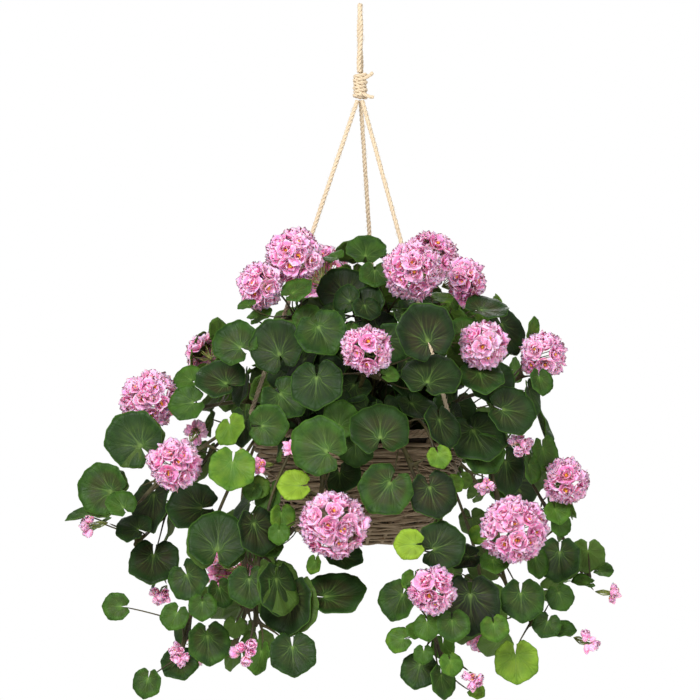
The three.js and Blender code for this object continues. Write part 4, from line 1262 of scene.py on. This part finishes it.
@dataclass
class Foliage:
    """Shapes and tones shared by every leaf."""

    lobes: float = 3.5
    lead: float = LEAF_LEAD
    dish: float = 0.10
    notch_angle: float = 0.30
    thickness: float = 0.55 * MM
    small: float = 16.0 * MM
    fill: float = 0.97
    same_place: float = 14.0 * MM

    # The youngest leaves, which are nearly yellow, and how bright each is.
    YOUNG = (
        ((-0.057, -0.132, -0.423), 1.0),
        ((0.042, -0.158, -0.472), 1.0),
        ((-0.111, -0.118, -0.409), 0.66),
        ((-0.112, -0.102, -0.375), 0.72),
        ((0.134, -0.122, -0.575), 0.8),
        ((0.068, -0.132, -0.398), 0.72),
        ((0.157, -0.058, -0.334), 0.72),
    )
    # Leaves deep in the shade, whose near-black tone is painted shade.
    SHADE_DARKENED_LEAVES = (
        (0.095, -0.126, -0.526),
        (0.061, -0.132, -0.431),
        (0.088, -0.102, -0.486),
        (-0.016, -0.022, -0.253),
    )

    def __post_init__(self) -> None:
        """Lays out a fine grid for large leaves and a coarser one for small ones."""
        self.fine = BladeGrid(6, 54)
        self.coarse = BladeGrid(4, 38)

    def tone(self, leaf: LeafPlace, random: np.random.Generator) -> tuple[float, float, float]:
        """Returns a leaf's tone, how strong its brown band is, and how yellow it is."""
        middle = leaf.point + leaf.axis * self.lead * leaf.radius
        for place, bright in self.YOUNG:
            if np.linalg.norm(middle - place) < self.same_place:
                return bright, 0.25, 0.5
        # Leaves deep in the shade get a near-black tone: painted shade.
        shade_darkened = min(np.linalg.norm(middle - place) for place in self.SHADE_DARKENED_LEAVES) < self.same_place
        small = np.clip((20 * MM - leaf.radius) / (9 * MM), 0, 1)
        tone = 0.04 if shade_darkened else 0.22 + 0.30 * small + random.uniform(-0.14, 0.16)
        return tone, random.uniform(0.15, 0.85) * (1 - 0.5 * small), random.uniform(0.0, 0.35) * (0.3 + small)

    def grow(self, draft: Draft, leaf: LeafPlace, random: np.random.Generator, shaded: bool = False) -> None:
        """Adds one leaf.

        Args:
            draft: the mesh that it joins.
            leaf: where it sits.
            random: where its own small differences come from.
            shaded: whether it is one of the leaves in the heart, whose dark tone is painted shade.
        """
        grid = self.coarse if leaf.radius < self.small or shaded else self.fine
        radius = leaf.radius * self.fill
        turn, share = np.meshgrid(grid.turn, grid.reach)
        angle = turn * (math.pi - self.notch_angle * (1 - 0.55 * share) * random.uniform(0.7, 1.2))
        full = self.lead * np.cos(angle) + np.sqrt(1 - (self.lead * np.sin(angle)) ** 2)
        phase = turn * self.lobes
        skew = 1 + 0.05 * random.uniform(-1, 1) * np.sin(angle)
        teeth = 0.018 * np.cos(4 * math.pi * phase + random.uniform(-1, 1))
        edge = 1 + 0.030 * np.cos(2 * math.pi * phase) + teeth
        corner = 1 - 0.34 * np.exp(-(((1 - np.abs(turn)) / 0.085) ** 2))
        length = radius * full * share * (1 + (edge * skew - 1) * share**2) * (1 + (corner - 1) * share**3)
        reach = length / radius
        cup = self.dish * random.uniform(0.2, 1.4) * reach**2
        pleats = -0.034 * reach * np.cos(2 * math.pi * phase) * np.clip(share * 2, 0, 1)
        ruffle = 0.055 * random.uniform(0.5, 1.8) * share**3 * np.sin(3 * angle + random.uniform(0, ANY_PHASE))
        curl = -0.12 * random.uniform(-0.4, 1.6) * share**3 * np.cos(angle + random.uniform(-1, 1))
        fold = 0.20 * random.uniform(-0.2, 1.0) * np.abs(reach * np.sin(angle))
        height = radius * (cup + pleats + ruffle + curl + fold)
        side = np.cross(leaf.axis, leaf.normal)
        along = (length * np.cos(angle))[..., None] * leaf.axis
        aside = (length * np.sin(angle))[..., None] * side
        surface = leaf.point + along + aside + height[..., None] * leaf.normal
        top = np.concatenate([leaf.point[None], surface.reshape(-1, 3)]) + 0.5 * self.thickness * leaf.normal
        place = np.stack([phase, share, reach], -1).reshape(-1, 3)
        place = np.concatenate([[[0, 0, 0]], place])
        tone, zone, warm = self.tone(leaf, random)
        # Leaves in the heart get a dark tone: painted shade.
        if shaded:
            tone, zone, warm = 0.08 + 0.2 * random.random(), 0.3, 0.0
        tint = np.tile((tone, zone, warm, 0.0), (len(top), 1))
        under = tint.copy()
        under[:, 3] = 1.0
        points = np.concatenate([top, top - self.thickness * leaf.normal])
        draft.add(points, grid.faces, np.concatenate([tint, under]), np.tile(place, (2, 1)))


@dataclass
class Plant:
    """One plant: its leaves, and its stems with their petioles and flower stalks."""

    name: str
    foliage: Foliage
    swell: float = 0.30 * MM
    far_side: float = 0.0
    more_leaves: int = 14
    clear_of_pot: float = 0.09

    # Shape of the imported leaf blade: its spokes in radii, shortest first, and how thick it is.
    SPOKES = (0.14, 0.71, 0.71, 0.89, 0.89, 1.175, 1.175, 1.32)
    HALF_THICKNESS = 0.8 * MM
    SMALLEST = 5 * MM
    SLACK = 0.05
    STEEPEST = 0.5

    def read_leaf(self, peak: bmesh.types.BMVert) -> LeafPlace | None:
        """Reads a leaf from the point on top of its blade.

        Args:
            peak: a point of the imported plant.

        Returns:
            The leaf, or nothing where the point isn't the middle of a blade.
        """
        ring = [edge.other_vert(peak) for edge in peak.link_edges]
        ring.sort(key=lambda v: (v.co - peak.co).length)
        spokes = np.array([(v.co - peak.co).length for v in ring])
        radius = spokes[-1] / self.SPOKES[-1]
        if len(ring) < len(self.SPOKES) - 1 or radius < self.SMALLEST:
            return None
        misses = [np.abs(spokes / radius - spoke).min() for spoke in self.SPOKES[1:]]
        steep = [abs((v.co - peak.co).normalized().dot(peak.normal)) > self.STEEPEST for v in ring[1:]]
        if max(misses) > self.SLACK or any(steep):
            return None
        normal = sum((face.normal * face.calc_area() for face in peak.link_faces), Vector()).normalized()
        point = peak.co - normal * self.HALF_THICKNESS
        axis = ring[-1].co - point
        axis = (axis - normal * axis.dot(normal)).normalized()
        return LeafPlace(np.array(point), np.array(normal), np.array(axis), radius)

    def read(self) -> None:
        """Reads the plant's leaves, and leaves only its stems in its shape."""
        self.shape = merged(self.name)
        self.leaves: list[LeafPlace] = []
        spent = []
        for vertex in self.shape.verts:
            leaf = self.read_leaf(vertex)
            if leaf:
                spent += [vertex, *(edge.other_vert(vertex) for edge in vertex.link_edges)]
                self.leaves.append(leaf)
        bmesh.ops.delete(self.shape, geom=list(set(spent)), context="VERTS")
        self.stem_points = np.array([v.co for v in self.shape.verts])
        log.info("%s: %d leaves", self.name, len(self.leaves))

    def side_leaves(self, taken: list[LeafPlace], random: np.random.Generator) -> list[tuple]:
        """Finds room for more leaves along the stems on the far side of the basket.

        Args:
            taken: every leaf so far, which the new ones are added to.
            random: where they are chosen from.

        Returns:
            Each new leaf, with the point of the stem that it grows from.
        """
        found = []
        for index in random.permutation(len(self.stem_points)):
            root = self.stem_points[index]
            if root[1] < self.far_side or len(found) >= self.more_leaves:
                continue
            out = unit(np.array([root[0], root[1], 0.0]))
            way = unit(out + random.normal(0, 0.5, 3) + 0.35 * UP)
            radius = random.uniform(9.5, 17.0) * MM
            point = root + way * random.uniform(12, 24) * MM
            normal = unit(out + 0.55 * UP + random.normal(0, 0.33, 3))
            axis = unit(np.cross(np.cross(normal, way - 0.8 * UP), normal))
            leaf = LeafPlace(point, normal, axis, radius)
            near = min(np.linalg.norm(leaf.middle - t.middle) - 0.62 * (radius + t.radius) for t in taken)
            if near < 0 or math.hypot(*point[:2]) < self.clear_of_pot:
                continue
            taken.append(leaf)
            found.append((leaf, root))
        return found

    def build(self, seed: int, taken: list[LeafPlace]) -> None:
        """Makes the plant's leaves and stems.

        Args:
            seed: starts the plant's own random numbers.
            taken: every leaf of every plant.
        """
        random = np.random.default_rng(seed)
        draft = Draft(f"{self.name}_leaves")
        for leaf in self.leaves:
            self.foliage.grow(draft, leaf, random)
        stalks = Draft(f"{self.name}_petioles")
        for leaf, root in self.side_leaves(taken, random):
            self.foliage.grow(draft, leaf, random)
            add_petiole(stalks, root, leaf, random)
        draft.piece(LEAF, "foliage", self.name)
        if stalks.count:
            stalks.piece(STEM, "foliage")
        shape = self.shape
        bmesh.ops.holes_fill(shape, edges=[e for e in shape.edges if e.is_boundary], sides=0)
        limits = {"angle_face_threshold": 0.6, "angle_shape_threshold": 0.8}
        bmesh.ops.join_triangles(shape, faces=shape.faces, **limits)
        shape.normal_update()
        for vertex in shape.verts:
            vertex.co += vertex.normal * self.swell
        mesh = bpy.data.meshes.new(f"{self.name}_stems")
        shape.to_mesh(mesh)
        shape.free()
        mesh.shade_smooth()
        stems = bpy.data.objects.new(f"{self.name}_stems", mesh)
        stems.modifiers.new("rounded", "SUBSURF").render_levels = 1
        dress(stems, STEM, "foliage", self.name)


# ---------------------------------------------------------------- flowers


class HeadKind(Enum):
    """How far a flower head has opened."""

    FULL = "full"
    OPENING = "opening"
    BUDS = "buds"


class PetalGrid:
    """The points and faces of a petal with two sides that meet at its edge."""

    def __init__(self, rows: int, columns: int) -> None:
        """Lays out the grid with that many steps along and across."""
        self.across, self.along = np.meshgrid(np.linspace(-1, 1, columns + 1), np.linspace(0, 1, rows + 1))
        top = np.arange((rows + 1) * (columns + 1)).reshape(rows + 1, columns + 1)
        bottom = top.copy()
        bottom[1:-1, 1:-1] = top.size + np.arange((rows - 1) * (columns - 1)).reshape(rows - 1, columns - 1)
        self.faces = np.concatenate([sheet_faces(top)[:, ::-1], sheet_faces(bottom)])
        self.count = top.size + (rows - 1) * (columns - 1)

    def sheet(self, middle: Points) -> Points:
        """Gives a sheet of points its lower side.

        Args:
            middle: the petals' points, petal by row by column.

        Returns:
            Every point of each petal, in the order that the faces use.
        """
        down = unit(np.cross(np.gradient(middle, axis=1), np.gradient(middle, axis=2)))
        lower = (middle + down * 0.22 * MM)[:, 1:-1, 1:-1]
        count = len(middle)
        return np.concatenate([middle.reshape(count, -1, 3), lower.reshape(count, -1, 3)], axis=1)

    def both(self, values: Points) -> Points:
        """Gives values on the grid to the lower side too."""
        return np.concatenate([values.ravel(), values[1:-1, 1:-1].ravel()])


@dataclass(frozen=True)
class PetalSet:
    """One whorl of a floret's petals."""

    count: int
    length: float
    width: float
    base_rise: float
    tip_rise: float
    wrap: float
    ruffle: float
    inner: float


OUTER_OPEN = PetalSet(5, 11.2 * MM, 6.4 * MM, 4.0, 66.0, 0.55, 0.9 * MM, 0.0)
INNER_OPEN = PetalSet(4, 8.2 * MM, 4.6 * MM, 32.0, 100.0, 0.8, 1.0 * MM, 0.7)
OUTER_HALF = PetalSet(5, 8.6 * MM, 4.4 * MM, 38.0, 92.0, 0.9, 0.5 * MM, 0.0)
INNER_HALF = PetalSet(4, 7.4 * MM, 3.6 * MM, 58.0, 104.0, 1.0, 0.5 * MM, 0.7)


@dataclass
class FlowerHead:
    """An umbel: florets or buds on thin stalks that leave one point."""

    name: str
    floret_size: float = 9.0 * MM

    SIDES = 7
    TIP = 1.2
    TOP = 0.82
    SMALLEST_FULL = 15.5 * MM
    # Where a petal is widest, and the lengths over which it tapers on each side of that, in petal lengths.
    WIDEST = 0.62
    BASE_TAPER = 0.66
    TIP_TAPER = 0.42
    BUDS_ONLY = ("flower_front_2", "flower_trail_right_inner_2", "flower_crown_3")
    DEEP_PINK = ("flower_front_3",)
    FINE = PetalGrid(4, 4)
    COARSE = PetalGrid(3, 3)

    def __post_init__(self) -> None:
        """Reads the head's place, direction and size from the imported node."""
        shape = merged(self.name)
        poles = [v for v in shape.verts if len(v.link_edges) == self.SIDES]
        tip = min(poles, key=lambda v: min(e.calc_length() for e in v.link_edges)).co.copy()
        top = max(poles, key=lambda v: (v.co - tip).length).co.copy()
        shape.free()
        span = (top - tip).length
        self.radius = span / (self.TIP + self.TOP)
        self.axis = np.array((top - tip).normalized())
        self.tip = np.array(tip)
        self.centre = self.tip + self.axis * self.TIP * self.radius
        self.kind = HeadKind.FULL
        if self.radius < self.SMALLEST_FULL:
            self.kind = HeadKind.BUDS if self.name in self.BUDS_ONLY else HeadKind.OPENING

    def directions(self, count: int, widest: float, random: np.random.Generator) -> Points:
        """Spreads directions evenly about the head's axis.

        Args:
            count: how many.
            widest: the largest angle from the axis, in radians.
            random: where their small differences come from.

        Returns:
            One direction for each.
        """
        height = 1 - (np.arange(count) + 0.5) / count * (1 - math.cos(widest))
        turn = math.pi * (3 - math.sqrt(5)) * np.arange(count) + random.uniform(0, ANY_PHASE)
        flat = np.sqrt(np.clip(1 - height**2, 0, 1))
        first, second = square_to(self.axis)
        ring = (flat * np.cos(turn))[:, None] * first + (flat * np.sin(turn))[:, None] * second
        return unit(height[:, None] * self.axis + ring + random.normal(0, 0.07, (count, 3)))

    def petals(
        self,
        draft: Draft,
        whorl: PetalSet,
        bases: Points,
        facing: Points,
        sizes: Points,
        shades: Points,
        random: np.random.Generator,
    ) -> None:
        """Adds one whorl of petals to every floret.

        Args:
            draft: the mesh that they join.
            whorl: the petals' shape.
            bases: the middle of each floret.
            facing: the way each floret faces.
            sizes: each floret's size as a share of the usual one.
            shades: each floret's paleness, cream and depth.
            random: where their small differences come from.
        """
        grid = self.COARSE if whorl.inner else self.FINE
        count = len(bases) * whorl.count
        first, second = (np.repeat(v, whorl.count, 0)[:, None, None] for v in square_to(facing))
        axis = np.repeat(facing, whorl.count, 0)[:, None, None]
        start = np.repeat(random.uniform(0, ANY_PHASE, len(bases)), whorl.count)
        steps = np.tile(np.arange(whorl.count), len(bases)) * 2 * math.pi / whorl.count
        turn = (start + steps + random.normal(0, 0.12, count))[:, None, None, None]
        out = first * np.cos(turn) + second * np.sin(turn)
        beside = second * np.cos(turn) - first * np.sin(turn)
        size = (np.repeat(sizes, whorl.count) * random.uniform(0.88, 1.1, count))[:, None, None]
        v, w = grid.along[None], grid.across[None]
        rise = np.radians(whorl.base_rise + random.normal(0, 6, (count, 1, 1)))
        tip = np.radians(whorl.tip_rise + random.normal(0, 13, (count, 1, 1)))
        bend = (tip - rise) / 2
        flat = whorl.length * size * v * np.cos(rise + bend * v)
        lift = whorl.length * size * v * np.sin(rise + bend * v)
        past = v - self.WIDEST
        taper = np.where(past < 0, self.BASE_TAPER, self.TIP_TAPER)
        swell = np.sqrt(np.clip(1 - (past / taper) ** 2, 0, 1))
        aside = w * whorl.width * size * swell
        inward = whorl.wrap * aside**2 / (1.1 * whorl.length)
        wave = whorl.ruffle * v**2 * np.sin(3.2 * w + random.uniform(0, ANY_PHASE, (count, 1, 1)))
        notch = -0.07 * whorl.length * v**4 * np.exp(-((w / 0.35) ** 2))
        lift = lift + wave * 0.8 + notch + 0.35 * inward
        flat = flat - inward + wave * 0.5
        spread = flat[..., None] * out + aside[..., None] * beside + lift[..., None] * axis
        middle = np.repeat(bases, whorl.count, 0)[:, None, None] + spread
        points = grid.sheet(middle)
        faces = grid.faces[None] + (grid.count * np.arange(count))[:, None, None]
        shade = np.repeat(shades, whorl.count, 0) + random.normal(0, 0.08, (count, 3))
        tint = np.concatenate([np.clip(shade, 0, 1), np.full((count, 1), whorl.inner)], 1)
        place = np.stack([grid.both(grid.across), grid.both(grid.along), 0 * grid.both(grid.along)], -1)
        tints, places = np.repeat(tint, grid.count, 0), np.tile(place, (count, 1))
        draft.add(points.reshape(-1, 3), [faces.reshape(-1, 4)], tints, places)

    def stalks(self, draft: Draft, ends: Points, facing: Points, cup: float) -> None:
        """Adds a thin stalk from the head's foot to each floret or bud, widening into its calyx."""
        for end, face in zip(ends, facing):
            bow = self.tip + 0.45 * (end - self.tip) + face * 0.1 * self.radius
            path = smooth_path(np.stack([self.tip, bow, end - face * 2.2 * MM, end]), 8 * MM)
            radius = np.full(len(path), 0.42 * MM)
            radius[-1] = cup
            points, faces, place = tube(path, radius, 4, square_to(unit(end - self.tip))[0])
            draft.add(points, faces, (0.35, 0.0, 0.0, 1.0), place)

    def bud(self, draft: Draft, base: Points, face: Points, length: float, shade: Points) -> None:
        """Adds one closed bud, a pointed egg with spiral folds."""
        sides, rows = 10, 8
        v = np.linspace(0, 1, rows)[:, None]
        turn = 2 * math.pi * np.arange(sides)[None] / sides
        swell = np.sin(math.pi * v**0.75) ** 0.7 * (1 - 0.25 * v) * 0.36 * length + 0.2 * MM
        swell = swell * (1 + 0.07 * np.cos(5 * turn + 4 * v))
        first, second = square_to(face)
        points = base + (v * length)[..., None] * face + (swell * np.cos(turn))[..., None] * first
        points = points + (swell * np.sin(turn))[..., None] * second
        faces = [sleeve_faces(rows, sides), *sleeve_caps(rows, sides)]
        place = np.stack(np.broadcast_arrays(np.sin(2.5 * turn + 2 * v), 0.3 + 0.6 * v, 0 * turn), -1)
        draft.add(points.reshape(-1, 3), faces, (*shade, 0.0), place.reshape(-1, 3))

    def build(self, seed: int) -> None:
        """Makes the head's petals, stamens and green parts.

        Args:
            seed: starts the head's own random numbers.
        """
        random = np.random.default_rng(seed)
        petals, greens, eyes = (Draft(f"{self.name}_{part}") for part in ("petals", "greens", "stamens"))
        deep = 0.8 if self.name in self.DEEP_PINK else 0.0
        if self.kind is HeadKind.FULL:
            count = round(3.1 * (self.radius / self.floret_size) ** 2)
            facing = self.directions(count, math.radians(112), random)
            away = 0.96 * self.radius - 0.72 * self.floret_size
            whorls = (OUTER_OPEN, INNER_OPEN)
            sizes = random.uniform(0.9, 1.12, count)
        else:
            count = 5 if self.kind is HeadKind.OPENING else 2
            facing = self.directions(count, math.radians(75), random)
            away = 0.30 * self.radius
            whorls = (OUTER_HALF, INNER_HALF)
            sizes = np.full(count, self.radius / (13 * MM)) * random.uniform(0.8, 1.0, count)
        bases = self.centre + facing * away * random.uniform(0.92, 1.04, (count, 1))
        tilt = unit(facing + random.normal(0, 0.16, (count, 3)))
        pale, cream = random.uniform(0, 1, count), random.uniform(0, 1, count) ** 2
        shades = np.stack([pale, cream, random.uniform(0, 0.25, count) + deep], -1)
        for whorl in whorls:
            self.petals(petals, whorl, bases, tilt, sizes, shades, random)
        self.stalks(greens, bases, tilt, 1.7 * MM)
        lumps = np.repeat(bases + tilt * 3.0 * MM, 3, 0) + random.normal(0, 0.9 * MM, (3 * count, 3))
        sizes = random.uniform(0.9, 1.7, (3 * count, 3)) * MM
        Blob.scatter(eyes, lumps, sizes, np.tile(random.uniform(0, 1, (3 * count, 1)), (1, 4)))
        if self.kind is not HeadKind.FULL:
            buds = 4 if self.kind is HeadKind.OPENING else 6
            ways = unit(self.directions(buds, math.radians(80), random) + np.array([0, 0, -0.25]))
            roots = self.centre + ways * 0.25 * self.radius
            for root, way in zip(roots, ways):
                length = random.uniform(7.0, 10.0) * MM
                self.bud(petals, root, way, length, (random.uniform(0.2, 0.9), 0.3, deep))
            self.stalks(greens, roots + ways * 1.2 * MM, ways, 2.2 * MM)
        petals.piece(PETAL, "petal", self.name)
        greens.piece(CALYX, "foliage")
        eyes.piece(STAMEN, "petal")


# ---------------------------------------------------------------- the whole object


def main() -> None:
    """Builds the object piece by piece."""
    logging.basicConfig(level=logging.INFO, format="%(message)s")
    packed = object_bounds()
    studio = Studio()
    studio.camera()
    RopeHanger().build()
    studio.build(packed[0].z)
    TwigBasket().build()
    PottingSoil().build()
    foliage = Foliage()
    names = sorted(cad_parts)
    plants = [Plant(name, foliage) for name in names if name.startswith("plant_")]
    for plant in plants:
        plant.read()
    taken = [leaf for plant in plants for leaf in plant.leaves]
    for number, plant in enumerate(plants):
        plant.build(100 + number, taken)
    InnerFoliage(foliage).build(taken)
    for number, name in enumerate(n for n in names if n.startswith("flower_")):
        FlowerHead(name).build(300 + number)


if __name__ == "__main__":
    main()
